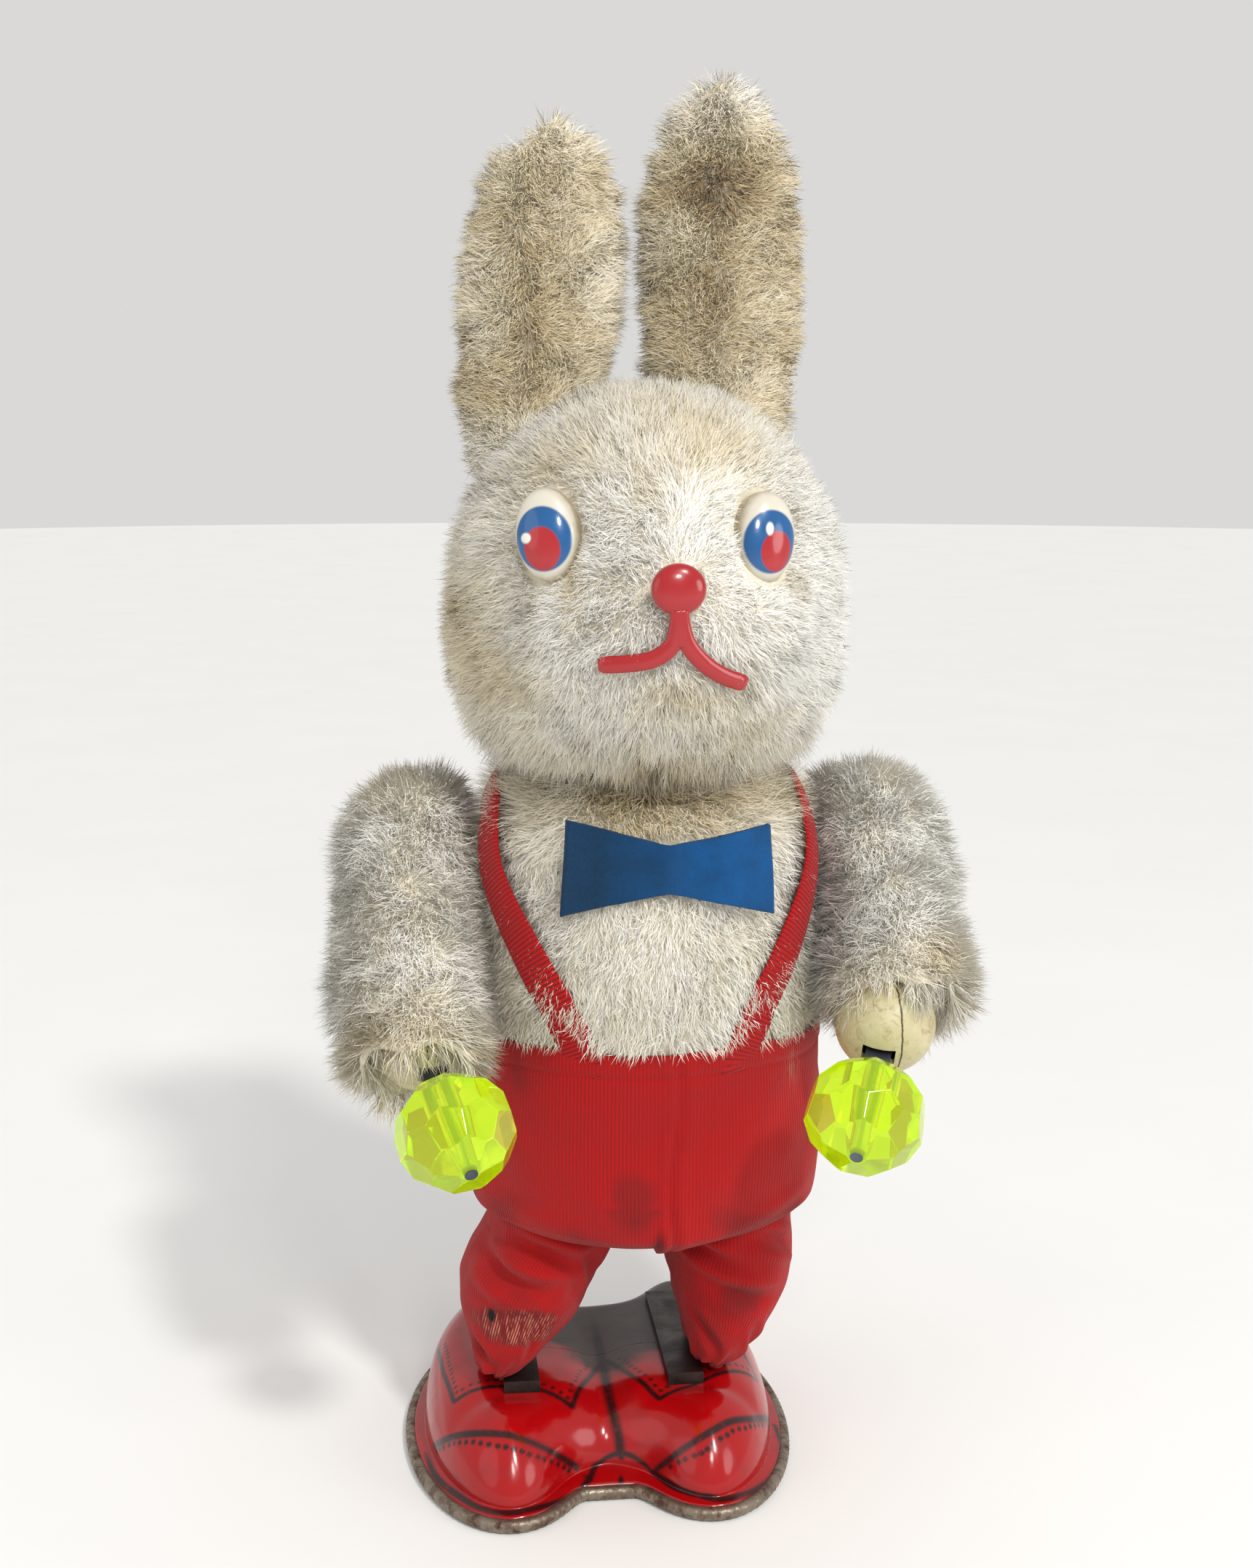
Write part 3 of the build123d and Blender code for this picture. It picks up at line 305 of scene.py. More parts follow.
def metal(name, colour, dark, roughness, scratch=0.5):
    s = Surface(name, Metallic=0.9)
    patches = s.noise(6, 5, 0.6, 0.4)
    s.colour(s.mix(s.ramp(patches, (0.35, 0.0), (0.75, 1.0)), dark, colour))
    s.rough(patches, (0.3, roughness + 0.2), (0.7, roughness))
    s.bump(s.noise(1.2, 3, 0.6, 0, s.stretched(1, 1, 9)), 0.04 * scratch)
    return s.material


def card(name, colour, dark):
    s = Surface(name, Roughness=0.85)
    fibres = s.noise(0.5, 5, 0.7)
    s.colour(s.mix(s.noise(5, 4), dark, colour))
    s.bump(fibres, 0.08)
    return s.material


def backing(name, colour, dark):
    """Knitted pile backing, seen only between strands."""
    s = Surface(name, Roughness=0.9, Sheen_Weight=0.3)
    tufts = s.noise(0.7, 4, 0.7)
    s.colour(s.mix(s.noise(7, 4, 0.6), dark, colour))
    s.bump(tufts, 0.35)
    return s.material


def ribbed_cloth(name, colour, groove_shade, pitch, wear=False):
    """Fine ribs that follow the attribute "ribs", which runs in millimetres across them, painted darker in
    their grooves: painted shade.
    """
    s = Surface(name, Roughness=0.85, Sheen_Weight=0.08, Specular_IOR_Level=0.25)
    rib = s.plus(s.times(s.maths("SINE", s.times(s.value("ribs"), tau / pitch)), 0.5), 0.5)
    weft = s.noise(0.35, 2, 0.6)
    soil = s.ramp(s.noise(11, 5, 0.65, 0.5), (0.42, 0.0), (0.8, 0.75))
    # the rib grooves take the darker colour (painted shade), then patches of dust over all
    dust_and_groove_shade = s.mix(soil, s.mix(s.ramp(rib, (0.0, 0.0), (0.6, 1.0)), groove_shade, colour), shade(140, 22, 24))
    if wear:
        threads = s.mix(s.ramp(rib, (0.35, 0.0), (0.8, 1.0)), shade(104, 20, 22), shade(196, 122, 98))
        breaks = s.noise(0.8, 3, 0.7, 0, s.stretched(1, 1, 0.2))
        dust_and_groove_shade = s.mix(s.value("soiled"), dust_and_groove_shade, shade(58, 22, 24))
        dust_and_groove_shade = s.mix(s.times(s.value("worn"), s.ramp(breaks, (0.42, 0.0), (0.62, 1.0))), dust_and_groove_shade, threads)
        dust_and_groove_shade = s.mix(s.value("hole"), dust_and_groove_shade, shade(12, 6, 6))
    s.colour(dust_and_groove_shade)
    s.bump(s.plus(s.times(rib, 0.75), s.times(weft, 0.35)), 0.11)
    return s.material


def fur_tones(*tones):
    """One material for each tone of strand: nylon pile, shiny in streaks along its length."""
    for number, tone in enumerate(tones):
        s = Surface(f"fur_{number}", Base_Color=shade(*tone), Specular_IOR_Level=0.5, Sheen_Weight=0.35)
        s.rough(s.noise(1.5, 2), (0.3, 0.38), (0.7, 0.62))
        yield s.material


fur_materials = list(fur_tones(
    (255, 253, 246), (253, 248, 236), (246, 237, 215), (234, 220, 187), (209, 190, 148), (162, 136, 94),
    (86, 66, 48),
))
pile_backing = backing("pile_backing", shade(240, 234, 218), shade(214, 202, 172))

METALS = {
    "sole_steel": metal("sole_steel", shade(108, 98, 92), shade(54, 45, 42), 0.38, 1.5),
    "strip_steel": metal("strip_steel", shade(82, 74, 70), shade(42, 36, 34), 0.3),
    "arm_strip": metal("arm_strip", shade(120, 128, 140), shade(74, 80, 90), 0.3),
    "motor_steel": metal("motor_steel", shade(176, 176, 178), shade(96, 92, 86), 0.3),
    "gear_brass": metal("gear_brass", shade(206, 168, 96), shade(130, 96, 48), 0.32),
    "spring_steel": metal("spring_steel", shade(70, 76, 92), shade(34, 34, 40), 0.3),
    "shell_card": card("shell_card", shade(176, 154, 120), shade(132, 108, 78)),
}


# ---------------------------------------------------------------- pile
STRAND_WIDTH = 0.12
# about how far apart the middles of clumps stand
CLUMP_SIZE = 1.5


def skin_samples(obj, count, generator):
    """Random places on a mesh, evenly by area, with their normals."""
    mesh = obj.data
    mesh.calc_loop_triangles()

    def numbers(items, key, kind, amount):
        found = np.zeros(amount * 3, kind)
        items.foreach_get(key, found)
        return found.reshape(-1, 3)

    corners = numbers(mesh.loop_triangles, "vertices", np.int32, len(mesh.loop_triangles))
    places = numbers(mesh.vertices, "co", float, len(mesh.vertices)) / MM
    normals = numbers(mesh.vertex_normals, "vector", float, len(mesh.vertices))
    a, b, c = (places[corners[:, k]] for k in range(3))
    area = np.linalg.norm(np.cross(b - a, c - a), axis=1)
    chosen = generator.choice(len(area), count, p=area / area.sum())
    u, v = generator.random(count), generator.random(count)
    over = u + v > 1
    u[over], v[over] = 1 - u[over], 1 - v[over]
    weights = np.stack((1 - u - v, u, v), 1)[:, :, None]
    return (places[corners[chosen]] * weights).sum(1), unit((normals[corners[chosen]] * weights).sum(1))


def pile(name, skin, body, slot, count, seed, length, lie, lean, tone, keep=None, longer=None):
    """Fine ribbon strands on a skin. lie(roots, normals) is the way the nap lies and lean how far it lies
    over, tone(roots) the shade from 0 to 6, keep(roots) the strands to keep, longer(roots) their length."""
    generator = np.random.default_rng(seed)
    roots, normals = skin_samples(skin, count, generator)
    if keep is not None:
        wanted = keep(roots)
        roots, normals = roots[wanted], normals[wanted]
    amount = len(roots)
    nap = lie(roots, normals)
    nap = unit(nap - (nap * normals).sum(1, keepdims=True) * normals)
    swirl = np.stack([ripple(roots, 4.5, seed + k) for k in range(3)], 1)
    direction = normals * (1 - lean) + nap * lean + 0.5 * swirl + generator.normal(0, 0.24, (amount, 3))
    direction = unit(direction + normals * np.maximum(0, 0.3 - (direction * normals).sum(1, keepdims=True)))
    reach = length * generator.uniform(0.66, 1.1, (amount, 1))
    reach *= 1 + 0.12 * ripple(roots, 6, seed + 9)[:, None]
    if longer is not None:
        reach *= longer(roots)[:, None]

    # strands near each other draw together a little at their tips
    area = sum(polygon.area for polygon in skin.data.polygons) / MM**2
    centres = max(8, int(amount * area / count / CLUMP_SIZE**2))
    picks = generator.choice(amount, centres, replace=False)
    tree = kdtree.KDTree(centres)
    for number, pick in enumerate(picks):
        tree.insert(Vector(roots[pick]), number)
    tree.balance()
    nearest = np.array([picks[tree.find(Vector(root))[1]] for root in roots])
    pull = generator.uniform(0.0, 0.5, (amount, 1))
    tips = roots + direction * reach
    tips += pull * (roots[nearest] + direction[nearest] * reach - tips)
    curl = generator.normal(0, 0.3, (amount, 3))
    middles = roots + (tips - roots) * 0.55 + normals * 0.3 + curl
    roots = roots - normals * 0.3

    along = tips - roots
    across = unit(np.cross(along, normals) + generator.normal(0, 0.14, (amount, 3)) * reach)
    inward = (np.cross(across, along) * normals).sum(1) < 0
    across[inward] *= -1
    across *= STRAND_WIDTH / 2 * generator.uniform(0.7, 1.3, (amount, 1))
    narrowed = across * 0.85
    points = np.stack((roots - across, roots + across, middles + narrowed, middles - narrowed, tips), 1)
    first = np.arange(amount) * 5
    quads = np.stack((first, first + 1, first + 2, first + 3), 1)
    ends = np.stack((first + 3, first + 2, first + 4), 1)
    faces = [tuple(face) for pair in zip(quads.tolist(), ends.tolist()) for face in pair]
    obj = make_object(name, points.reshape(-1, 3), faces)

    facing = unit(normals + 0.3 * unit(along) + generator.normal(0, 0.2, (amount, 3)))
    obj.data.normals_split_custom_set_from_vertices(np.repeat(facing, 5, 0).tolist())
    shades = np.clip(np.round(tone(roots) + generator.normal(0, 0.6, amount)), 0, 6).astype(np.int32)
    new_material(obj, *fur_materials)
    obj.data.polygons.foreach_set("material_index", np.repeat(shades, 2))
    return finish_piece(obj, body, None)


# ---------------------------------------------------------------- stage, lights, camera
def build_stage():
    radius, around = 2600.0, 96
    angles = turns(around)
    rim = np.stack((radius * np.cos(angles), radius * np.sin(angles), np.full(around, -0.05)), 1)
    floor = make_object("floor", rim, [tuple(range(around))])
    s = Surface("floor_paint", Roughness=0.75)
    s.colour(s.mix(s.noise(60, 4), shade(238, 238, 237), shade(244, 244, 243)))
    new_material(floor, s.material)


# place, aim, diameter, watts and colour
AREA_LIGHTS = {
    "key": ((60, -560, 420), (8, 0, 110), 110, 0.9, (1.0, 0.985, 0.96)),
    "fill": ((-520, -260, 260), (8, 0, 110), 420, 0.3, (1, 1, 1)),
    "side": ((480, -320, 200), (8, 0, 120), 260, 0.55, (1, 1, 1)),
}


def build_light(name, kind, energy, colour, way, place=(0, 0, 0), **settings):
    lamp = bpy.data.lights.new(name, kind)
    for key, value in dict(settings, energy=energy, color=colour).items():
        setattr(lamp, key, value)
    obj = place_object(name, lamp)
    obj.location = Vector(place) * MM
    obj.rotation_euler = Vector(way).to_track_quat("-Z", "Y").to_euler()


def build_lights():
    world = bpy.data.worlds.new("studio")
    world.use_nodes = True
    background = world.node_tree.nodes["Background"].inputs
    background["Color"].default_value = (1.0, 0.99, 0.975, 1)
    background["Strength"].default_value = 0.7
    bpy.context.scene.world = world
    build_light("sun", "SUN", 1.3, (1.0, 0.985, 0.955), (-0.34, 0.72, -0.78), angle=radians(6))
    for name, (place, aim, size, power, colour) in AREA_LIGHTS.items():
        way = Vector(aim) - Vector(place)
        build_light(name, "AREA", power, colour, way, place, shape="DISK", size=size * MM)


def build_camera():
    data = bpy.data.cameras.new("camera")
    data.sensor_width, data.lens, data.clip_start, data.clip_end = 36, 46.75, 0.01, 20
    camera = place_object("camera", data)
    camera.location = Vector((-32.1, -328.5, 178.0)) * MM
    camera.rotation_euler = (radians(90 - 10.8), 0, radians(-6.5))
    bpy.context.scene.camera = camera


build_stage()
build_lights()
build_camera()
bpy.context.scene.view_settings.view_transform = "Standard"

# ---------------------------------------------------------------- carried-over CAD nodes
slot_of = {row["node"]: row["material_slot"] for row in frame["record"]["subparts"]}
for node, obj in frame["nodes"].items():
    if slot_of[node] in METALS:
        new_material(obj, METALS[slot_of[node]])

# ---------------------------------------------------------------- tin shoes
# middle of each shoe from the centre line, and its half width and half length
SHOE_X, SHOE_A, SHOE_B = 16.3, 17.0, 33.2
WEB_Y = 24.8
FLANGE_Z = 2.3


def shoe_outline(count, inset):
    """The shoes from above: two ellipses and the web between them, the inner corners rounded."""
    angles = turns(1440) + 0.5 * pi
    way = np.stack((np.cos(angles), np.sin(angles)), 1)
    web = np.minimum(SHOE_X / np.maximum(abs(way[:, 0]), 1e-6), WEB_Y / np.maximum(abs(way[:, 1]), 1e-6))
    a = (way[:, 0] / SHOE_A) ** 2 + (way[:, 1] / SHOE_B) ** 2
    b = -2 * abs(way[:, 0]) * SHOE_X / SHOE_A**2
    c = (SHOE_X / SHOE_A) ** 2 - 1
    lobe = (-b + np.sqrt(np.maximum(b * b - 4 * a * c, 0))) / (2 * a)
    reach = smooth_max(web, lobe, 3.5)
    line = way * reach[:, None]
    tangent = unit(np.roll(line, -1, 0) - np.roll(line, 1, 0))
    line -= inset * np.stack((tangent[:, 1], -tangent[:, 0]), 1)
    closed = np.vstack((line, line[:1]))
    length = run_of(closed)
    even = np.linspace(0, length[-1], count, endpoint=False)
    return np.stack([np.interp(even, length, closed[:, k]) for k in (0, 1)], 1)


def shoe_top(x, y):
    """Height of the pressing away from its walls."""
    front = np.maximum(0, -6 - y)
    height = 15.45 - 0.0098 * front**2
    toe = hump(abs(x), 17, 8.5) * hump(y, -23, 6.5)
    valley = hump(x, 0, 4.2) * smoothstep(26, -14, y)
    crease = hump(y + 14.5 + 0.02 * (abs(x) - 15) ** 2, 0, 2.2) * smoothstep(2, 7, abs(x))
    return height + 1.5 * toe - 2.6 * valley - 0.45 * crease


WALL_RUN = 7.0


def flange_width(x, y):
    return 1.9 + 2.6 * hump(x, 0, 5.5) * (y < 0)


def shoe_height(x, y, edge):
    """Height of the pressing at a place edge millimetres in from its edge."""
    flange = flange_width(x, y)
    rounding = 10.5 - 4.5 * smoothstep(-8, 14, y)
    wall = np.clip((edge - flange) / rounding, 0, 1)
    rise = (1 - (1 - wall) ** 2.3) ** (1 / 2.1)
    low = FLANGE_Z + 0.28 * np.minimum(edge, flange)
    return low + (np.maximum(shoe_top(x, y), low) - low) * rise


PRESSING_INSET = 1.5

# printed lines of the shoes, as points on the pressing
TOE_TOPS = (
    ((-30.2, -10, 3.2), (-27.7, -14.3, 6.6), (-25.2, -17.8, 9.5), (-21.2, -21.7, 11.9),
     (-15.4, -24.3, 12.3), (-9.4, -22.9, 8.3), (-5.6, -20.8, 4.6), (-3.2, -21.8, 2.9)),
    ((7.5, -22, 3.4), (10.7, -24.8, 7.9), (16, -25.2, 11.6), (20, -22.8, 12.1),
     (24.9, -18.2, 9.8), (28, -12.6, 6.6), (30.4, -7.5, 3)),
)
TOE_BOTTOMS = (
    ((-30.2, -10, 3.2), (-28.6, -17.3, 2.8), (-26.1, -22.6, 2.8), (-21.6, -28.6, 2.9),
     (-16.6, -30.6, 2.9), (-10.5, -28.6, 2.8), (-6, -25, 2.8), (-3.2, -21.8, 2.9)),
    ((7.5, -22, 3.4), (10.5, -26.5, 3), (15.5, -30, 2.8), (18.9, -30.1, 2.8),
     (23.6, -27.5, 2.8), (27.4, -22.6, 2.8), (30.2, -15, 2.8), (30.6, -8, 3)),
)
TONGUES = (
    ((-27.4, 9, 12.0), (-26.6, -2, 12.6), (-25.1, -12, 12.4), (-13.2, -12.2, 15),
     (-5.6, -15.8, 12.3), (-3.5, -11, 13.8), (0.2, -3, 13.4)),
    ((1.7, -2.3, 13.7), (5.2, -10.5, 14.7), (9, -16.5, 13.3), (14.1, -14.8, 14.5),
     (27.2, -7.8, 11.1), (25.6, -1.8, 13), (26.4, 8, 12.6)),
)
CENTRE_LINE = ((0.6, 24, 13.5), (0.8, 0.9, 13.7), (1, -12.2, 12.2), (1.9, -17.5, 8.3), (2.2, -18.9, 5.4))
WEB_ARC = (
    (-3.2, -21.8, 2.9), (-1.9, -19, 3.6), (0.6, -18.4, 4.9), (3, -19, 5.4), (5.3, -20.1, 4.7), (7.5, -22, 3.4),
)
WEB_LINE = ((2.3, -19, 5), (1.8, -22.8, 2.6))


def dots_along(curve, towards, gap, offset, surface):
    """Places of dots on the surface beside a curve, on the side of the point towards."""
    length = run_of(curve)
    where = np.arange(1.6 * gap, length[-1] - gap, gap)
    on = np.stack([np.interp(where, length, curve[:, k]) for k in range(3)], 1)
    dots = on + offset * unit(np.array(towards) - on)
    return [surface[np.argmin(np.linalg.norm(surface - dot, axis=1))] for dot in dots]


def pressing_grid(around=560, flange_rings=10, wall_rings=70, top_rings=70):
    """Rings from the flange's edge up the wall and in to the middle of each shoe."""
    edge_line, border = shoe_outline(around, PRESSING_INSET), shoe_outline(1400, PRESSING_INSET)
    inward = np.stack((np.clip(edge_line[:, 0], -14.5, 14.5), 0 * edge_line[:, 1]), 1) - edge_line

    def depths(plan):
        return np.array([np.hypot(*(border - place).T).min() for place in plan])

    shares = np.linspace(0, 1, 160)
    reached = np.maximum.accumulate([depths(edge_line + inward * share) for share in shares], 0)
    flange = flange_width(*edge_line.T)
    wanted = [flange * k / flange_rings for k in range(flange_rings)]
    wanted += [flange + WALL_RUN * (1 - cos(turn)) for turn in np.linspace(0, 0.5 * pi, wall_rings)]
    steps = [np.array([np.interp(w, d, shares) for w, d in zip(row, reached.T)]) for row in wanted]
    steps += [steps[-1] + (1 - steps[-1]) * k / top_rings for k in range(1, top_rings + 1)]
    plans = [edge_line + inward * step[:, None] for step in steps]
    grid = np.array([np.column_stack((plan, shoe_height(*plan.T, depths(plan)))) for plan in plans])
    grid[0, :, 2] = 1.2
    return grid


def printed_lines(points):
    """How much ink is at each point of the pressing: outlines and stitch dots."""
    line = np.zeros(len(points))

    def ink(gap, half, fade, strength=1.0):
        np.maximum(line, strength * smoothstep(half + fade, half - fade, gap), out=line)

    def stroke(curve, width, fade=0.22):
        ink(curve_distance(points, np.asarray(curve, float))[0], width / 2, fade)

    def stitch(curve, towards, gap, offset, *dot_shape):
        for dot in dots_along(curve, towards, gap, offset, points):
            ink(np.linalg.norm(points - dot, axis=1), *dot_shape)

    def laid(corners, count=120):
        """A line through corners that lies on the pressing."""
        plan = np.array(corners, float)[:, :2]
        where = np.linspace(0, len(plan) - 1, count)
        plan = np.stack([np.interp(where, range(len(plan)), plan[:, k]) for k in range(2)], 1)
        under = [np.argmin(np.hypot(*(points[:, :2] - place).T)) for place in plan]
        return np.column_stack((plan, points[under, 2]))

    for top, bottom, side in zip(TOE_TOPS, TOE_BOTTOMS, (-1, 1)):
        stroke(spline(top, 60), 1.25)
        stroke(spline(bottom, 60), 1.35)
        stitch(spline(top, 60), (17 * side, -28, 6), 1.75, 2.1, 0.49, 0.13)
    for corners, centre in zip(TONGUES, ((-15, 6, 15), (14, 6, 15))):
        tongue = laid(corners)
        stroke(tongue, 0.95)
        stitch(tongue, centre, 1.55, 1.9, 0.4, 0.12, 0.9)
    stroke(spline(CENTRE_LINE, 50), 1.7, 0.5)
    stroke(spline(WEB_ARC, 40), 1.1)
    stroke(WEB_LINE, 1.1)
    return line


def build_shoes():
    grid = pressing_grid()
    obj = grid_object("tin_shoes", grid)
    points = grid.reshape(-1, 3)
    # the heel, under the body, is painted darker: part wear, part painted shade from the body above
    heel = np.hypot((points[:, 0] - 5) / 19, (points[:, 1] - 14) / 25)
    point_values(obj, "line", printed_lines(points))
    point_values(obj, "worn", smoothstep(1.15, 0.55, heel + 0.16 * ripple(points, 5, 2)))
    thicken(obj, 0.35)

    s = Surface("litho_tin", Coat_Weight=0.15, Coat_Roughness=0.05, Specular_IOR_Level=0.38)
    grime = s.ramp(s.noise(9, 6, 0.65, 0.6), (0.5, 0.0), (0.78, 0.6))
    specks = s.ramp(s.noise(0.9, 2, 0.5), (0.74, 0.0), (0.79, 0.55))
    red = s.mix(s.noise(14, 3), shade(150, 3, 8), shade(168, 8, 12))
    red = s.mix(specks, s.mix(grime, red, shade(120, 20, 22)), shade(96, 30, 26))
    # dark paint at the heel: part wear, part painted shade
    worn_and_shaded_paint = s.mix(s.noise(3.5, 5, 0.7), shade(34, 26, 26), shade(84, 66, 60))
    bare_and_shaded = s.ramp(s.plus(s.value("worn"), s.times(s.noise(5, 5, 0.7), 0.45)), (0.55, 0.0), (0.95, 1.0))
    ink = s.times(s.value("line"), s.ramp(s.noise(1.6, 4, 0.7), (0.22, 0.55), (0.45, 0.96)))
    s.colour(s.mix(ink, s.mix(bare_and_shaded, red, worn_and_shaded_paint), shade(30, 14, 16)))
    s.rough(s.plus(grime, bare_and_shaded), (0.0, 0.16), (0.9, 0.46))
    s.bump(s.noise(7, 3, 0.5), 0.12)
    finish_piece(obj, "root", s.material, ["shoe_upper"])


def build_sole():
    """The sole's rolled and crimped edge, and its flat underside."""
    around, section, teeth = 1280, 14, 168
    middle = shoe_outline(around, 1.15)
    tangent = unit(np.roll(middle, -1, 0) - np.roll(middle, 1, 0))
    out = np.stack((tangent[:, 1], -tangent[:, 0]), 1)
    crimp = 0.5 + 0.5 * np.cos(tau * (np.arange(around) / around * teeth))
    rings = []
    for angle in turns(section):
        bulge = 1.12 - 0.16 * crimp * max(0.0, cos(angle + 0.5)) ** 0.5
        height = max(0.0, 1.18 + 1.12 * sin(angle))
        ring = middle + out * (bulge * cos(angle))[:, None]
        rings.append(np.column_stack((ring, np.full(around, height))))
    rings.append(np.column_stack((middle, np.full(around, 0.05))))
    last, base = (section - 1) * around, section * around
    faces = grid_faces(section, around)
    faces += [(last + j, last + (j + 1) % around, (j + 1) % around, j) for j in range(around)]
    faces.append(tuple(base + j for j in range(around)))
    obj = make_object("sole_rim", np.vstack(rings), faces)
    outward(obj)
    s = Surface("crimped_tin", Metallic=0.75)
    rust = s.ramp(s.noise(2.2, 6, 0.7, 0.5), (0.42, 0.0), (0.66, 1.0))
    s.colour(s.mix(rust, shade(138, 126, 112), shade(84, 58, 44)))
    s.rough(rust, (0.0, 0.34), (1.0, 0.7))
    s.bump(s.noise(0.8, 4, 0.7), 0.1)
    finish_piece(obj, "root", s.material, ["sole_plate"])


build_shoes()
build_sole()

# ---------------------------------------------------------------- trousers
# height, half width and half depth
BODY_STATIONS = (
    (44.0, 19.0, 16.0), (50.0, 26.0, 23.0), (60.0, 28.2, 25.6), (77.0, 27.6, 25.3),
    (92.0, 26.4, 24.6), (104.0, 26.0, 22.6), (112.0, 23.5, 19.0), (116.5, 17.0, 13.0),
)
SEAT_STATIONS = (
    (41.2, 24.0, 21.0), (44.0, 28.2, 25.4), (48.0, 29.8, 27.2), (60.0, 30.4, 27.8), (77.0, 29.9, 27.6),
)
# height, middle in x and y, half width and half depth
LEG_STATIONS = {
    "left": (
        (17.2, 18.6, -5.0, 3.6, 10.5), (21.0, 20.6, -4.0, 6.6, 12.5), (27.0, 22.2, -3.0, 9.4, 14.0),
        (34.0, 22.6, -2.0, 11.0, 15.5), (40.8, 22.4, -2.0, 11.2, 15.5),
    ),
    "right": (
        (17.2, -17.8, -5.0, 3.6, 10.5), (21.0, -15.8, -4.0, 7.0, 12.5), (27.0, -13.2, -3.0, 10.6, 14.0),
        (34.0, -10.8, -2.0, 11.8, 15.5), (40.8, -7.2, -2.0, 12.0, 15.5),
    ),
}
WAIST_Z = 77.0
RIB_PITCH = 0.62


def folds(table, angles, height):
    """Folds pressed along lines in (angle in degrees, height), with the cloth standing up beside each."""
    around = (np.degrees(angles) + 180) % 360 - 180
    place = np.stack((around * FOLD_SPAN, np.full_like(around, height)), 1)
    push = 0
    for start, end, depth, width in table:
        line = np.array((start, end)) * (FOLD_SPAN, 1)
        gap, along = curve_distance(place, line)
        fade = np.sin(pi * np.clip(along / np.linalg.norm(line[1] - line[0]), 0.0, 1.0) * 0.9 + 0.15)
        push += depth * fade * (0.75 * hump(gap, 1.9 * width, width) - hump(gap, 0, width))
    return push


def rib_values(obj, around):
    """The distance round the cloth at each face corner, with the last column's far side one column on."""
    columns = len(around) - 1
    corners = np.zeros(len(obj.data.loops), np.int32)
    obj.data.loops.foreach_get("vertex_index", corners)
    column = (corners % columns).reshape(-1, 4)
    wraps = (column.max(1) == columns - 1) & (column.min(1) == 0)
    column[wraps[:, None] & (column == 0)] = columns
    attribute = obj.data.attributes.new("ribs", "FLOAT", "CORNER")
    attribute.data.foreach_set("value", around[column.ravel()].astype(np.float32))


def build_cloth(name, rings, thickness, wear, replaced, rests_on):
    """A gathered sheet from its rings. wear(x, y, z, places) gives its worn, holed and soiled shares."""
    points = np.array(rings)
    step = np.linalg.norm(np.roll(points, -1, 1) - points, axis=2)
    length = np.cumsum(np.concatenate((np.zeros((len(points), 1)), step), 1), 1)
    obj = grid_object(name, points)
    rib_values(obj, length[np.argmax(length[:, -1])])
    places = points.reshape(-1, 3)
    for key, values in zip(("worn", "hole", "soiled"), wear(*places.T, places)):
        point_values(obj, key, values)
    thicken(obj, thickness)
    finish_piece(obj, "root", cloth_material, [replaced])
    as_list(rests_on)


def build_seat():
    columns, wall, bottom = 288, 62, 22
    angles = turns(columns) - 0.5 * pi + 1e-3
    turned = angles + 0.5 * pi
    degrees = np.degrees(turned)
    under = 46 - 4.6 * (1 - np.cos(np.linspace(0.08, 0.5 * pi, bottom)))
    rings = []
    for level, height in enumerate(np.concatenate((np.linspace(WAIST_Z + 0.6, 46, wall), under))):
        half_width, half_depth = stations_at(SEAT_STATIONS, max(height, 41.2))
        if level >= wall:
            tuck = 8.5 * ((level - wall + 1) / bottom) ** 2.2
            half_width, half_depth = 29.3 - tuck, 26.8 - tuck
        circle = np.stack((30 * np.cos(angles), 30 * np.sin(angles), np.full(columns, height)), 1)
        push = -0.35 + 0.35 * ripple(circle, 13, 3) + folds(SEAT_FOLDS, turned, height)
        seam = abs(degrees - 3.6 - 1.6 * sin(height / 5.0))
        seam_depth = 0.34 + 0.25 * smoothstep(60, 46, height)
        push += 0.3 * hump(seam, 3.2, 2.0) - seam_depth * hump(seam, 0, 1.1)
        if height > WAIST_Z - 3.3:
            push += 0.28 * (1 - ((WAIST_Z - 1.4 - height) / 2.4) ** 2 * 0.5)
        if abs(height - (WAIST_Z - 3.5)) < 0.5:
            push -= 0.2
        drop = -1.1 * (0.5 + 0.5 * np.cos(2 * angles)) * smoothstep(60, WAIST_Z, height)
        drop += 0.4 * np.sin(5 * angles + 0.6) * smoothstep(70, WAIST_Z, height)
        drop -= 0.9 * hump(degrees, -4, 22) * smoothstep(52, 42, height)
        x = BODY_X + (half_width + push) * np.cos(angles)
        y = BODY_Y + (half_depth + push) * np.sin(angles)
        rings.append(np.column_stack((x, y, height + drop)))

    def wear(x, y, z, places):
        snag = 0.8 * hump(x, 30, 1.1) * hump(z, 72, 2.6) * (y < 0)
        slit = 0.8 * hump(x, 7.6, 0.8) * hump(z, 45, 2.6) * (y < 0)
        return snag, slit, 0.35 * smoothstep(0.25, 0.7, ripple(places, 9, 5) + 0.35 * (z < 52))

    shells = ["body_shell_front", "body_shell_back"]
    build_cloth("trousers_seat_cloth", rings, 0.5, wear, "trousers_seat", shells)


# millimetres round a leg in one degree
FOLD_SPAN = 0.26
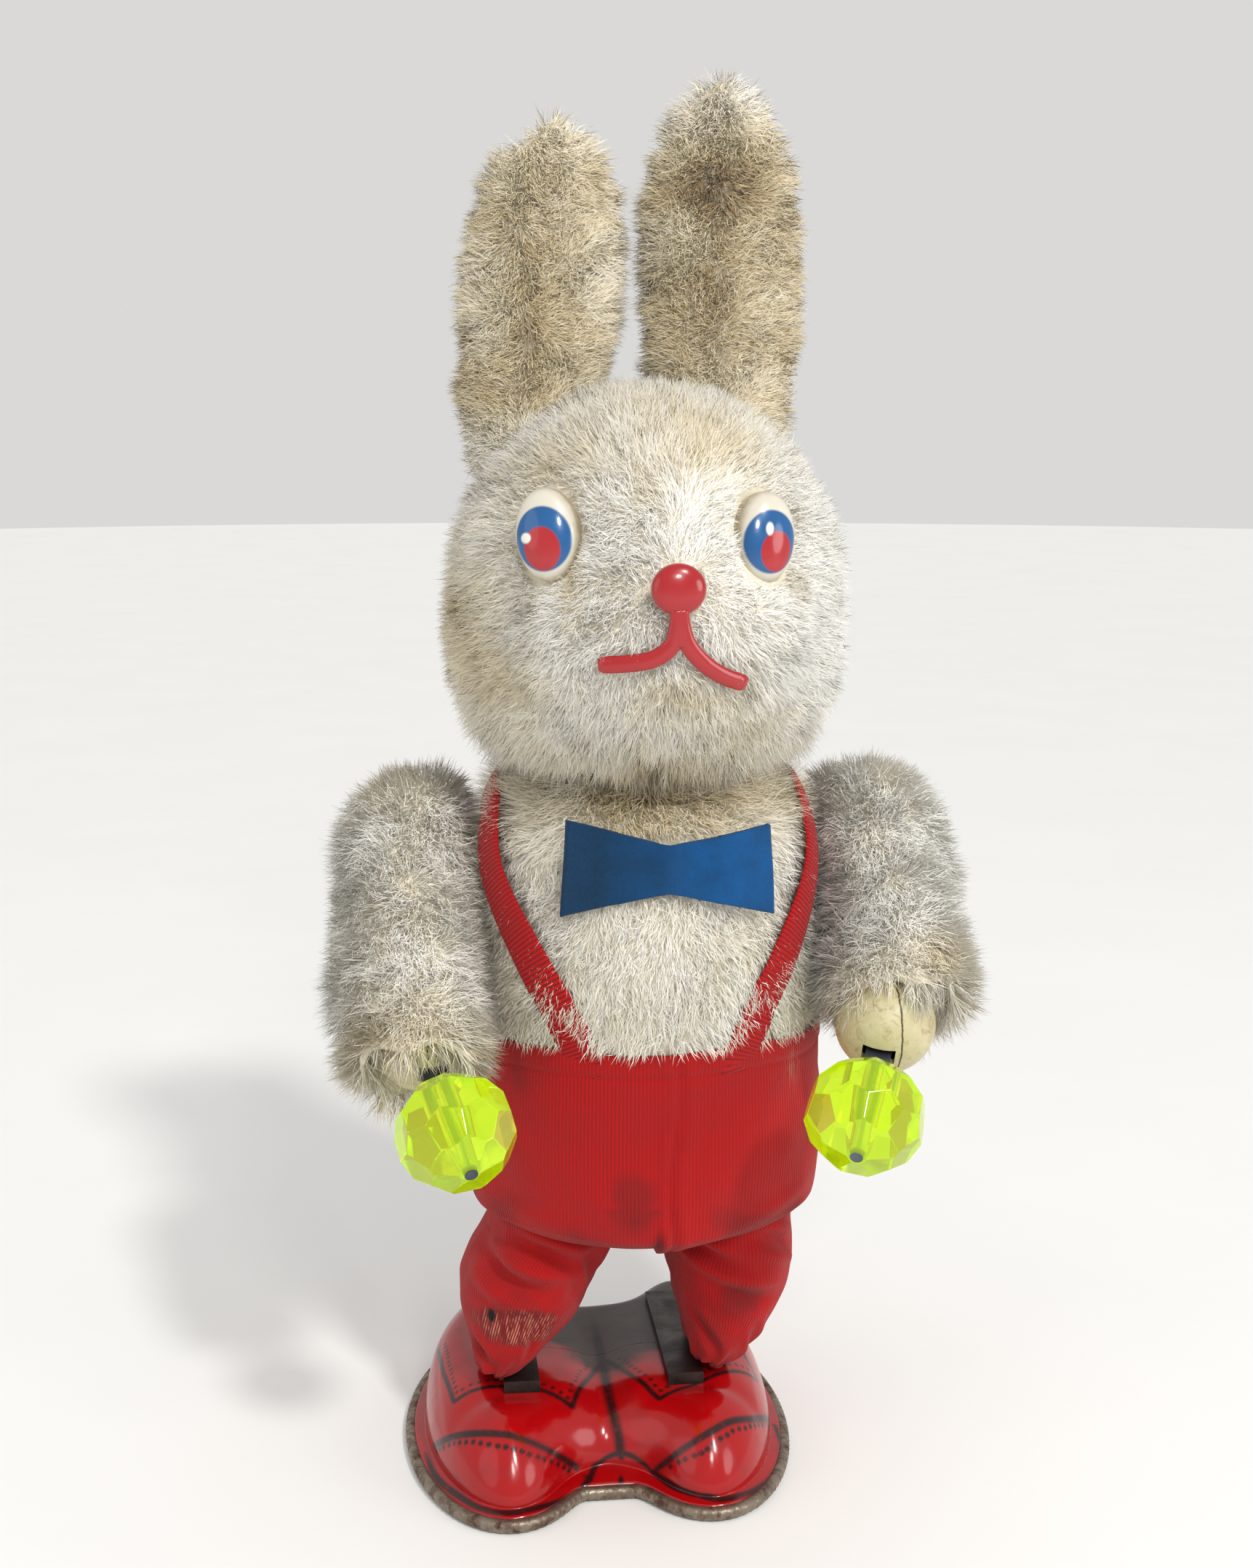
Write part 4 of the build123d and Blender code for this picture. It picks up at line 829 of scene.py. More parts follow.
# start and end as (degrees round from the front, height), depth and width
SEAT_FOLDS = (
    ((-62, 47), (-20, 44), 0.5, 1.5), ((64, 48), (22, 44), 0.5, 1.5), ((-80, 66), (-52, 50), 0.45, 2.2),
    ((84, 70), (50, 52), 0.45, 2.2), ((-14, 55), (-8, 44), 0.3, 1.0), ((150, 60), (200, 46), 0.5, 2.0),
)
LEG_FOLDS = {
    "right": (
        ((-75, 38), (10, 33), 1.5, 1.5), ((-40, 42), (30, 37.5), 1.3, 1.2), ((20, 41), (62, 32), 1.1, 1.3),
        ((-60, 24), (-18, 19), 0.6, 1.0), ((5, 27), (30, 19), 0.5, 1.1), ((120, 40), (200, 30), 1.1, 1.7),
        ((-150, 34), (-100, 26), 0.9, 1.5),
    ),
    "left": (
        ((-60, 41), (0, 36), 1.2, 1.3), ((-30, 33), (40, 29), 1.1, 1.5), ((10, 42), (66, 37), 1.2, 1.3),
        ((-50, 27), (-10, 20), 0.7, 1.1), ((20, 25), (48, 19), 0.6, 1.0), ((110, 38), (190, 31), 1.1, 1.7),
        ((-150, 36), (-96, 28), 0.9, 1.5),
    ),
}


def build_leg(name):
    columns, levels = 200, 90
    angles = turns(columns) - 0.5 * pi + 1e-3
    stations = LEG_STATIONS[name]
    rings = []
    for height in np.linspace(46.5, 16.6, levels):
        x, y, half_width, half_depth = stations_at(stations, min(max(height, 17.2), 40.8))
        tuck = smoothstep(18.6, 16.6, height)
        half_width = half_width * (1 - 0.25 * tuck) - 0.5
        half_depth = half_depth * (1 - 0.25 * tuck) - 0.6
        ring = (x + half_width * np.cos(angles), y + half_depth * np.sin(angles), np.full(columns, height))
        place = np.stack(ring, 1)
        slack = smoothstep(17, 24, height) * smoothstep(47, 40, height)
        push = 0.35 * np.cos(2 * (angles - 0.25 * pi)) ** 2 + 0.25 * ripple(place, 4, 3)
        push += 0.55 * slack * ripple(place, 9, 11 + len(name))
        push += folds(LEG_FOLDS[name], angles + 0.5 * pi, height)
        push += 0.4 * smoothstep(24, 17, height) * np.sin(11 * angles + 1.3 * np.sin(3 * angles))
        out = unit(np.stack((np.cos(angles) * half_depth, np.sin(angles) * half_width), 1))
        rings.append(place + np.column_stack((out * push[:, None], -0.6 * tuck * np.sin(4 * angles))))

    def wear(x, y, z, places):
        front = y < stations[2][2]
        worn, hole = 0 * x, 0 * x
        knee = np.hypot((x - 22.5) / 4.2, (z - 30.5) / 3.4) + 0.2 * ripple(places, 2.4, 8)
        rubbed = 0.45 * smoothstep(1.2, 0.4, knee) * front
        if name == "right":
            patch = np.hypot((x + 14.2) / 7.4, (z - 27.4) / 3.7) + 0.22 * ripple(places, 2.4, 8)
            worn = smoothstep(1.05, 0.6, patch) * front
            rubbed = 0.6 * smoothstep(1.1, 0.75, patch) * front
            hole = smoothstep(0.9, 0.55, np.hypot((x + 18.7) / 0.85, (z - 28.8) / 1.5)) * front
        inner = smoothstep(0.05, 0.6, ripple(places, 8, 21)) * smoothstep(40, 22, z)
        return worn, hole, np.maximum(0.4 * inner, rubbed)

    bracket, cloth = [f"leg_bracket_{name}"], f"trouser_leg_cloth_{name}"
    build_cloth(cloth, rings, 0.45, wear, f"trouser_leg_{name}", bracket)


cloth_material = ribbed_cloth("ribbed_cloth", CLOTH_RED, shade(150, 12, 16), RIB_PITCH, True)
build_seat()
for name in SIDES:
    build_leg(name)

# ---------------------------------------------------------------- torso and suspenders
# the left strap from front to back over the shoulder, from the body's middle
STRAP_PATH = (
    (11.8, -24.6, 73.0), (12.6, -25.0, 77.4), (20.0, -23.8, 90.0), (26.6, -15.0, 104.0), (26.4, -6.0, 114.0),
    (25.4, 6.0, 114.0), (21.0, 18.0, 104.0), (14.0, 25.4, 90.0), (10.0, 25.0, 77.4), (9.6, 24.6, 73.0),
)
STRAP_WIDTH = 6.6
STRAP_SUNK = 1.3
PILE_BASE = 1.0


def strap_line(side, count):
    return spline(np.array(STRAP_PATH) * (side, 1, 1) + (BODY_X, BODY_Y + 1, 0), count)


def build_strap(name, side):
    """A tape with a crowned face that wavers a little along its length."""
    line = strap_line(side, 150)
    along = unit(np.gradient(line, axis=0))
    away = line - np.array((BODY_X, BODY_Y, 0))
    away[:, 2] = 12 * smoothstep(100, 116, line[:, 2])
    across = unit(np.cross(along, away))
    face = unit(np.cross(across, along))
    line = line - face * STRAP_SUNK * smoothstep(78, 86, line[:, 2])[:, None]
    length = run_of(line)
    waver = 0.35 * np.sin(length / 9.0 + side) + 0.2 * np.sin(length / 3.7)
    angles = turns(24)
    half = STRAP_WIDTH / 2
    flat = np.sign(np.cos(angles)) * abs(np.cos(angles)) ** 0.35 * half
    crown = 0.3 * (1 - (flat / half) ** 2) + 0.35
    rise = np.sign(np.sin(angles)) * abs(np.sin(angles)) ** 0.6 * 0.42 + crown
    sideways = flat + 0.15 * waver[:, None]
    upwards = rise + 0.25 * waver[:, None]
    rings = line[:, None] + across[:, None] * sideways[:, :, None] + face[:, None] * upwards[:, :, None]
    obj = grid_object(f"suspender_tape_{name}", rings, cap_first=True, cap_last=True)
    point_values(obj, "ribs", np.repeat(length, len(angles)))
    finish_piece(obj, "root", tape_material, [f"suspender_{name}"])


def build_torso():
    columns, levels = 150, 64
    angles = turns(columns)
    middle = np.array((BODY_X, BODY_Y, 0))
    grid = []
    for height in np.linspace(WAIST_Z - 1.5, 117.8, levels):
        half_width, half_depth = stations_at(BODY_STATIONS, min(height, 116.5))
        x, y = (half_width + PILE_BASE) * np.cos(angles), (half_depth + PILE_BASE) * np.sin(angles)
        belly = 1.1 * hump(height, 90, 9) * np.maximum(0, -np.sin(angles))
        grid.append(middle + np.column_stack((x, y - belly, np.full(columns, height))))
    for share, height in ((0.8, 118.0), (0.62, 117.6)):
        grid.append(middle + (grid[-1] - middle) * (share, share, 0) + (0, 0, height))
    obj = grid_object("torso_skin", np.array(grid))
    finish_piece(obj, "root", pile_backing, ["torso_plush"])
    return obj


def torso_tone(roots):
    x, y, z = roots.T
    # darker under the head and the chin, and at the sides beside the sleeves: painted shade; darker towards
    # the back too
    tone = 0.95 + 1.3 * smoothstep(104, 115, z) + 0.6 * smoothstep(15, 27, abs(x - BODY_X))
    tone += 0.5 * smoothstep(-4, 12, y) + 0.8 * ripple(roots, 9, 31)
    under_chin_shade = smoothstep(108, 114, z) * smoothstep(-8, -16, y) * smoothstep(14, 6, abs(x - BODY_X))
    return tone + 1.1 * under_chin_shade


def under_strap(roots):
    """False for the strands that the straps and the bow press flat, and at the waistband and the neck."""
    x, y, z = roots.T
    hidden = np.zeros(len(roots), bool)
    for side in SIDES.values():
        hidden |= curve_distance(roots, strap_line(side, 60))[0] < STRAP_WIDTH / 2 - 1.1
    matted = (x > BODY_X) & (z > 98) & (ripple(roots, 0.7, 8) > -0.1)
    bow = (abs(x - BODY_X) < 12) & (abs(z - 107) < 4) & (y < 0)
    neck = np.hypot(x - BODY_X, y - BODY_Y) < 10
    return ~((hidden & ~matted) | bow | neck | (z < WAIST_Z + 1.8))


def ruff(roots):
    return 1 + 1.2 * smoothstep(109, 117, roots[:, 2])


def down_and_out(roots, normals):
    """The nap runs down the body, and stands up and out round the neck."""
    way = np.zeros_like(roots)
    high = smoothstep(106, 114, roots[:, 2])
    away = unit(roots - np.array((BODY_X, BODY_Y, 0)) * (1, 1, 0) - roots * (0, 0, 1))
    way[:, 2] = -1.0 + 1.3 * high
    return way + away * high[:, None]


tape_material = ribbed_cloth("ribbed_tape", shade(172, 10, 16), shade(112, 6, 10), 0.7)
torso_skin = build_torso()
for name, side in SIDES.items():
    build_strap(name, side)
pile("torso_fur", torso_skin, "root", "plush_white", 66000, 5, 4.2, down_and_out, 0.5,
     torso_tone, under_strap, ruff)


# ---------------------------------------------------------------- bow tie
def build_bow():
    """A cut piece of felt, pinched at its middle and waved."""
    columns, rows = 90, 36
    u = np.linspace(-1, 1, columns)
    far = abs(u)
    grid = []
    for v in np.linspace(-1, 1, rows):
        half = 3.7 + 3.9 * far**1.05 - (0.9 * (v > 0) + 0.5 * (v < 0)) * (u > 0) * far
        x = 8.6 + 16.1 * u + 0.5 * v * (u < -0.5) * far - 0.35 * v * (u > 0.5)
        wave = 0.8 * np.sin(3.6 * u + 0.5) * far + 0.6 * far**2 * np.cos(2.2 * v + u)
        y = -28.4 - wave - 0.5 * hump(u, 0, 0.12) * (1 - v**2) + 0.5 * far**2
        grid.append(np.column_stack((x, y, 107.0 + half * v - 0.4 * u)))
    obj = grid_object("bow_felt", np.array(grid), closed=False)
    thicken(obj, 1.1, 0)
    s = Surface("blue_felt", Roughness=0.95, Sheen_Weight=0.1, Specular_IOR_Level=0.2)
    fibres = s.noise(0.35, 5, 0.75, 1.2)
    blotch = s.ramp(s.noise(5, 4, 0.6), (0.3, 0.6), (0.7, 1.0))
    # painted shade: the felt darker towards its left lobe and lighter to the right
    lit = s.ramp(s.times(s.plus(s.x(), 0.0075), 1 / 0.0322), (0.15, 0.25), (0.75, 1.0))
    blue = s.mix(s.times(lit, blotch), shade(2, 24, 34), shade(0, 86, 152))
    s.colour(s.mix(s.ramp(fibres, (0.35, 0.0), (0.7, 0.2)), blue, shade(30, 98, 142)))
    s.bump(fibres, 0.3)
    finish_piece(obj, "root", s.material, ["bow_tie"])


build_bow()


# ---------------------------------------------------------------- head
MUZZLE_WIDTHS = np.array((1.7, 1.0, 1.3))


def head_points(inset, levels=96, columns=176):
    """The head's rounded form, full in the cheeks, with the muzzle standing out of it, inset all round."""
    rises = -np.cos(np.linspace(0.06, pi - 0.04, levels))
    angles = turns(columns) + 0.5 * pi
    grid = []
    for rise in rises:
        fullness = 2.05 if rise > 0 else 3.2
        swell = (1 - abs(rise) ** fullness) ** (1 / fullness)
        cheek = 1 - 0.07 * rise
        x = (31.6 - inset) * swell * cheek * np.cos(angles)
        y = (30.6 - inset) * swell * np.sin(angles)
        grid.append(np.column_stack((x, y, np.full(columns, (30.4 - inset) * rise))))
    points = np.array(grid)
    reach = np.linalg.norm(points, axis=2)
    way = points / reach[:, :, None]
    squeezed, muzzle = way / MUZZLE_WIDTHS, np.array((0.0, -20.5, -6.6)) / MUZZLE_WIDTHS
    ahead = squeezed @ muzzle
    steep = (squeezed**2).sum(-1)
    root = ahead**2 - steep * (muzzle @ muzzle - (14.3 - inset) ** 2)
    far = np.where(root > 0, (ahead + np.sqrt(np.maximum(root, 0))) / steep, 0)
    points = way * smooth_max(reach, far, 3.0)[:, :, None]
    return points + HEAD + HEAD_SHIFT


SKIN_INSET = 2.1
HEAD_SHIFT = np.array((-0.6, 0.0, 0.0))


def build_head():
    obj = grid_object("head_skin", head_points(SKIN_INSET), cap_first=True, cap_last=True)
    finish_piece(obj, "head", pile_backing, ["head_plush"])
    return obj


def bump_at(roots, centre, radii):
    return np.exp(-(((roots - np.array(centre)) / np.array(radii)) ** 2).sum(1))


# how much darker, centre and radii of patches on the face: darker above and between the eyes, under the mouth
# and on the lower cheeks, streaked stains under the eyes, and lighter across the middle at eye height
FACE_PATCHES = (
    (1.9, (-11, -26, 169), (7, 14, 4.5)), (1.7, (17, -26, 169), (8, 14, 5)),
    (1.6, (6, -28, 162), (2.5, 14, 4)), (2.0, (8.6, -30, 136), (6.5, 14, 3.6)),
    (1.5, (20, -24, 132), (7, 14, 5)), (1.3, (-13, -24, 136), (6, 14, 5)),
    (3.4, (-5.6, -29, 151.5), (1.5, 8, 4.0)), (2.2, (27.0, -24, 149.5), (1.8, 8, 3.0)),
    (-0.9, (8.6, -30, 158), (12, 16, 5)),
)
# the same for patches that run round the head: painted shade on the forehead and on the viewer's-left side of
# the face, painted light on the viewer's-right cheek
HEAD_SHADE_AND_LIGHT = (
    (1.5, (6, -18, 174), (18, 20, 10)), (2.9, (-20, -12, 143), (9, 16, 13)),
    (0.7, (-14, -18, 162), (8, 12, 8)), (-1.2, (28, -14, 144), (8, 14, 8)),
)


def head_tone(roots):
    y, z = roots[:, 1], roots[:, 2]
    face = smoothstep(4, -8, y)
    tone = 0.45 + 0.8 * ripple(roots, 10, 41) + 0.4 * ripple(roots, 4, 44)
    tone += 1.1 * smoothstep(138, 124, z) + 0.7 * (1 - face)
    tone += sum(amount * face * bump_at(roots, *place) for amount, *place in FACE_PATCHES)
    # painted shade and painted light round the head
    tone += sum(amount * bump_at(roots, *place) for amount, *place in HEAD_SHADE_AND_LIGHT)
    neck = face * bump_at(roots, (9, -20, 124), (9, 12, 4.5))
    return tone + 3.2 * neck * (0.6 + 0.8 * ripple(roots, 3, 47))


# x and z of the middle, degrees turned outwards, and which way
EYES = {"left": (23.0, 157.3, 17.0, 1), "right": (-9.8, 158.0, 21.0, -1)}
EYE_Y = -28.5
EYE_HALF = (4.65, 6.8)
EYE_ROLL = radians(7)


def eye_axes(name):
    x, z, yaw, side = EYES[name]
    turn = radians(yaw) * side
    out = unit(np.array((sin(turn), -cos(turn), 0.12)))
    flat = np.array((cos(turn), sin(turn), 0.0))
    up = unit(np.cross(out, flat))
    roll = EYE_ROLL * side
    right = flat * cos(roll) - up * sin(roll)
    return np.array((x, EYE_Y, z)), right, unit(np.cross(out, right)), out


def eye_gaps(roots, margin):
    """How far each root is from each eye, 1 at its rim with that margin added, and far behind the head."""
    for name in EYES:
        centre, right, up, out = eye_axes(name)
        away = roots - centre
        rim = np.hypot(away @ right / (EYE_HALF[0] + margin[0]), away @ up / (EYE_HALF[1] + margin[1]))
        yield np.where(away @ out > -12, rim, 99)


def clear_of_face(roots):
    """False where an eye sits in the pile, and under the neck."""
    under = (np.hypot(roots[:, 0] - BODY_X, roots[:, 1] - BODY_Y) < 9) & (roots[:, 2] < 128)
    return (np.min(list(eye_gaps(roots, (1.3, 1.0))), 0) >= 1) & ~under


def head_lie(roots, normals):
    """The nap runs down and away from the nose."""
    away = roots - np.array((8.4, -36, 152))
    way = unit(away)
    way[:, 2] -= 0.75
    return way + 0.35 * np.stack([ripple(roots, 11, 91 + k) for k in range(3)], 1)


MOUTH_LINES = (
    ((8.2, 147.8), (8.1, 145.2), (7.5, 142.7), (5.0, 140.7), (1.2, 139.9), (-3.0, 139.6)),
    ((8.8, 147.8), (9.0, 145.2), (9.8, 142.7), (12.2, 139.9), (15.2, 137.9), (18.9, 136.4)),
    ((8.5, 147.8), (8.55, 145.2), (8.65, 142.5)),
)
MOUTH_WIDTH = 2.6


def build_eye(name):
    centre, right, up, out = eye_axes(name)
    rings, columns = 60, 120
    angles = turns(columns)
    grid = []
    for share in np.linspace(0.012, 1, rings - 8):
        lift = 2.3 * (1 - share**2.1) ** 0.62
        grid.append((share, lift))
    for turn in np.linspace(0.25, 1, 8):
        grid.append((1 + 0.02 * sin(pi * turn), -3.0 * turn))
    points = []
    for share, lift in grid:
        u = EYE_HALF[0] * share * np.cos(angles)
        v = EYE_HALF[1] * share * np.sin(angles)
        points.append(centre + u[:, None] * right + v[:, None] * up + lift * out)
    obj = grid_object(f"eye_dome_{name}", np.array(points), cap_first=True, cap_last=True)
    flat = np.array(points).reshape(-1, 3) - centre
    u, v, depth = flat @ right / EYE_HALF[0], flat @ up / EYE_HALF[1], flat @ out

    def disc(where, half, soft=0.035):
        gap = np.hypot((u - where[0]) / half[0], (v - where[1]) / half[1])
        return smoothstep(1 + soft / half[0], 1 - soft / half[0], gap) * (depth > -0.4)

    for key, (where, half) in EYE_PRINT[name].items():
        point_values(obj, key, disc(where, half))
    point_values(obj, "edge", smoothstep(0.86, 1.02, np.hypot(u, v)) + (depth < -0.1))
    s = Surface(f"printed_eye_{name}", Coat_Weight=0.45, Coat_Roughness=0.05)
    aged = s.mix(s.noise(3, 4, 0.6), shade(216, 213, 202), shade(200, 192, 172))
    rim = s.times(s.value("edge"), s.ramp(s.noise(1.4, 4, 0.6), (0.3, 0.2), (0.7, 0.75)))
    white = s.mix(rim, aged, shade(170, 154, 124))
    blue = s.mix(s.noise(2.5, 3), shade(0, 72, 128), shade(0, 90, 150))
    painted = s.mix(s.value("iris"), white, blue)
    red = s.mix(s.noise(1.2, 3), shade(160, 16, 24), shade(174, 24, 32))
    painted = s.mix(s.value("pupil"), painted, red)
    painted = s.mix(s.value("glint"), painted, shade(226, 226, 216))
    s.colour(painted)
    s.rough(s.noise(2, 3), (0.3, 0.16), (0.8, 0.3))
    finish_piece(obj, "head", s.material, [f"eye_{name}"])


EYE_PRINT = {
    "right": {
        "iris": ((-0.03, -0.11), (0.92, 0.70)),
        "pupil": ((-0.07, -0.32), (0.60, 0.47)),
        "glint": ((-0.56, -0.06), (0.18, 0.11)),
    },
    "left": {
        "iris": ((0.02, -0.11), (0.92, 0.69)),
        "pupil": ((0.20, -0.31), (0.56, 0.44)),
        "glint": ((-0.13, 0.16), (0.13, 0.14)),
    },
}


def stroke_rings(line, widths, crown, lean):
    """Rings of a pressed strip with a rounded face that follows a line on the muzzle."""
    along = unit(np.gradient(line, axis=0))
    out = np.tile(np.array(lean, float), (len(line), 1))
    across = unit(np.cross(along, out))
    rings = []
    for place, a, o, width in zip(line, across, out, widths):
        ring = []
        for k in range(20):
            angle = tau * k / 20
            side = cos(angle) * width / 2
            lift = max(sin(angle), -0.35) * crown
            ring.append(place + a * side + o * lift)
        rings.append(ring)
    return rings


def muzzle_y(x, z):
    """Y of the nose and mouth pressing, which bends round the muzzle."""
    return NOSE_Y + 0.021 * (x - 8.4) ** 2 + 0.0075 * (z - 150.7) ** 2


NOSE_Y = -39.9


def build_nose():
    columns, points, faces = 64, [], []

    def add_rings(rings):
        start = len(points)
        rows, across = len(rings), len(rings[0])
        points.extend(p for ring in rings for p in ring)
        faces.extend(tuple(start + k for k in face) for face in grid_faces(rows, across, True, True, True))

    angles = turns(columns)
    dome = []
    crown = [(share, 1.5 * (1 - share**2.2) ** 0.6) for share in np.linspace(0.02, 1, 22)]
    for share, lift in crown + [(1.0, -0.7), (0.9, -1.0)]:
        x = 8.4 + 4.0 * share * np.cos(angles)
        z = 150.7 + 3.75 * share * np.sin(angles)
        dome.append(np.column_stack((x, np.full(columns, NOSE_Y + 0.4 - lift), z)))
    add_rings(dome)
    for line in MOUTH_LINES:
        plan = spline(line, 40)
        place = np.column_stack((plan[:, 0], muzzle_y(plan[:, 0], plan[:, 1]), plan[:, 1]))
        share = np.linspace(0, 1, 40)
        tip = np.sqrt(np.clip(1 - 0.5 * ((share - 0.95) / 0.05).clip(0, 1) ** 2, 0.02, 1))
        widths = MOUTH_WIDTH * tip * (0.82 + 0.18 * smoothstep(0, 0.4, share))
        add_rings(stroke_rings(place, widths, 0.62, (0, -1, 0)))
    obj = make_object("nose_mouth_pressing", np.array(points), faces)
    outward(obj)
    s = Surface("red_enamel", Coat_Weight=0.5, Coat_Roughness=0.05)
    chips = s.ramp(s.noise(1.1, 4, 0.7), (0.7, 0.0), (0.76, 0.8))
    red = s.mix(s.noise(6, 3), shade(150, 2, 12), shade(168, 6, 18))
    s.colour(s.mix(chips, red, shade(120, 40, 40)))
    s.rough(s.noise(3, 3), (0.3, 0.14), (0.8, 0.3))
    s.bump(s.noise(2.5, 3), 0.05)
    finish_piece(obj, "head", s.material, ["nose_mouth"])


head_skin = build_head()


def beard(roots):
    """Longer pile low on the head, where it hangs over the neck, and short pile behind nose and mouth."""
    plan = np.column_stack((roots[:, 0], roots[:, 2]))
    gap = np.hypot(plan[:, 0] - 8.4, plan[:, 1] - 150.7) - 4.0
    for line in MOUTH_LINES:
        gap = np.minimum(gap, curve_distance(plan, spline(line, 24))[0] - MOUTH_WIDTH / 2)
    pressed = smoothstep(0.7, -0.3, gap) * (roots[:, 1] < -20)
    beside = smoothstep(1.75, 1.25, np.min(list(eye_gaps(roots, (0, 0))), 0))
    return (1 + 0.8 * smoothstep(133, 122, roots[:, 2])) * (1 - 0.42 * pressed) * (1 - 0.5 * beside)


def front_of_head(roots):
    return clear_of_face(roots) & (roots[:, 1] < HEAD[1] - 2)


def back_of_head(roots):
    return clear_of_face(roots) & (roots[:, 1] >= HEAD[1] - 2)


HEAD_FUR = dict(lie=head_lie, lean=0.4, tone=head_tone, longer=beard)
pile("head_fur_front", head_skin, "head", "plush_white", 118000, 9, 4.3, keep=front_of_head, **HEAD_FUR)
pile("head_fur_back", head_skin, "head", "plush_white", 100000, 10, 4.3, keep=back_of_head, **HEAD_FUR)
for name in SIDES:
    build_eye(name)
build_nose()

# ---------------------------------------------------------------- ears
# root, tip and half width
EARS = {
    "left": ((20.6, 0.0, 167.0), (21.0, 4.0, 229.4), 13.6),
    "right": ((-10.9, 0.0, 167.0), (-5.6, 4.5, 222.4), 13.4),
}
# share of the length, share of the half width, and half depth
EAR_PROFILE = (
    (0.0, 0.7, 6.0), (0.2, 0.9, 6.4), (0.5, 1.0, 6.4), (0.74, 0.92, 5.6), (0.9, 0.66, 4.4), (1.0, 0.32, 2.4),
)
EAR_INSET = 2.9


def build_ear(name):
    root, tip, half_width = EARS[name]
    root, tip = np.array(root), np.array(tip)
    columns, levels = 72, 60
    angles = turns(columns)
    grid = []
    for share in np.sin(np.linspace(0, 0.5 * pi, levels)) * 0.985:
        width, depth = stations_at(EAR_PROFILE, share)
        close = np.sqrt(max(0.0, 1 - max(0.0, (share - 0.9) / 0.1) ** 2))
        width = (half_width * width - EAR_INSET) * max(close, 0.03)
        depth = max(depth - EAR_INSET, 0.9) * max(close, 0.03)
        centre = root + (tip - root) * (share * 0.965)
        hollow = 1.1 * hump(np.cos(angles), 0, 0.55) * (np.sin(angles) < 0) * sin(pi * share)
        x = centre[0] + width * np.cos(angles)
        y = centre[1] + depth * np.sin(angles) + hollow * min(1.0, depth)
        grid.append(np.column_stack((x, y, np.full(columns, centre[2]))))
    obj = grid_object(f"ear_skin_{name}", np.array(grid), cap_first=True, cap_last=True)
    finish_piece(obj, "head", pile_backing, [f"ear_{name}"])

    def tone(roots):
        x, y, z = roots.T
        value = 2.8 + 1.1 * ripple(roots, 10, 51 + len(name)) + 0.5 * ripple(roots, 4, 5)
        value += 0.7 * hump(x, root[0], 3.5) * (y < 1)
        value -= 0.9 * smoothstep(178, 168, z)
        if name == "left":
            value += 2.6 * bump_at(roots, (21, -2, 211), (9, 8, 5.5)) - 1.3 * smoothstep(217, 224, z)
            value += 0.9 * bump_at(roots, (16, -2, 196), (6, 8, 8))
        else:
            value += 0.9 * bump_at(roots, (-8, -2, 206), (8, 8, 9))
            value += 1.2 * bump_at(roots, (-16, -2, 178), (6, 8, 5))
        return value

    def lie(roots, normals):
        way = np.zeros_like(roots)
        way[:, 2] = 0.55 * (0.4 - (roots[:, 2] - 167) / 60) - 0.1
        way[:, 0] = 0.9 * (roots[:, 0] - root[0]) / 10
        return way + 0.2 * normals

    def tufted(roots):
        return 1.0 + 0.28 * ripple(roots, 6, 19)

    pile(f"ear_fur_{name}", obj, "head", "plush_ear", 44000, 61 + len(name), 4.2, lie, 0.3,
         tone, above_head, tufted)


def above_head(roots):
    """False for roots inside the head."""
    gap = (roots - HEAD) / np.array((27.5, 26.5, 26.2))
    return np.linalg.norm(gap, axis=1) > 0.98


for name in SIDES:
    build_ear(name)

# ---------------------------------------------------------------- sleeves
HANDS = {"left": (44.0, -24.0, 80.0), "right": (-29.4, -24.0, 80.0)}
SLEEVE_X = 38.9
# distance down the sleeve, and share of its radius
SLEEVE_PROFILE = ((-9.0, 0.45), (-6.0, 0.8), (0.0, 0.97), (12.0, 1.0), (26.0, 1.0), (36.0, 0.9))
SLEEVE_RADIUS = 9.6
# distance of the cuff's edge down the sleeve
CUFF = {"left": 32.0, "right": 40.0}


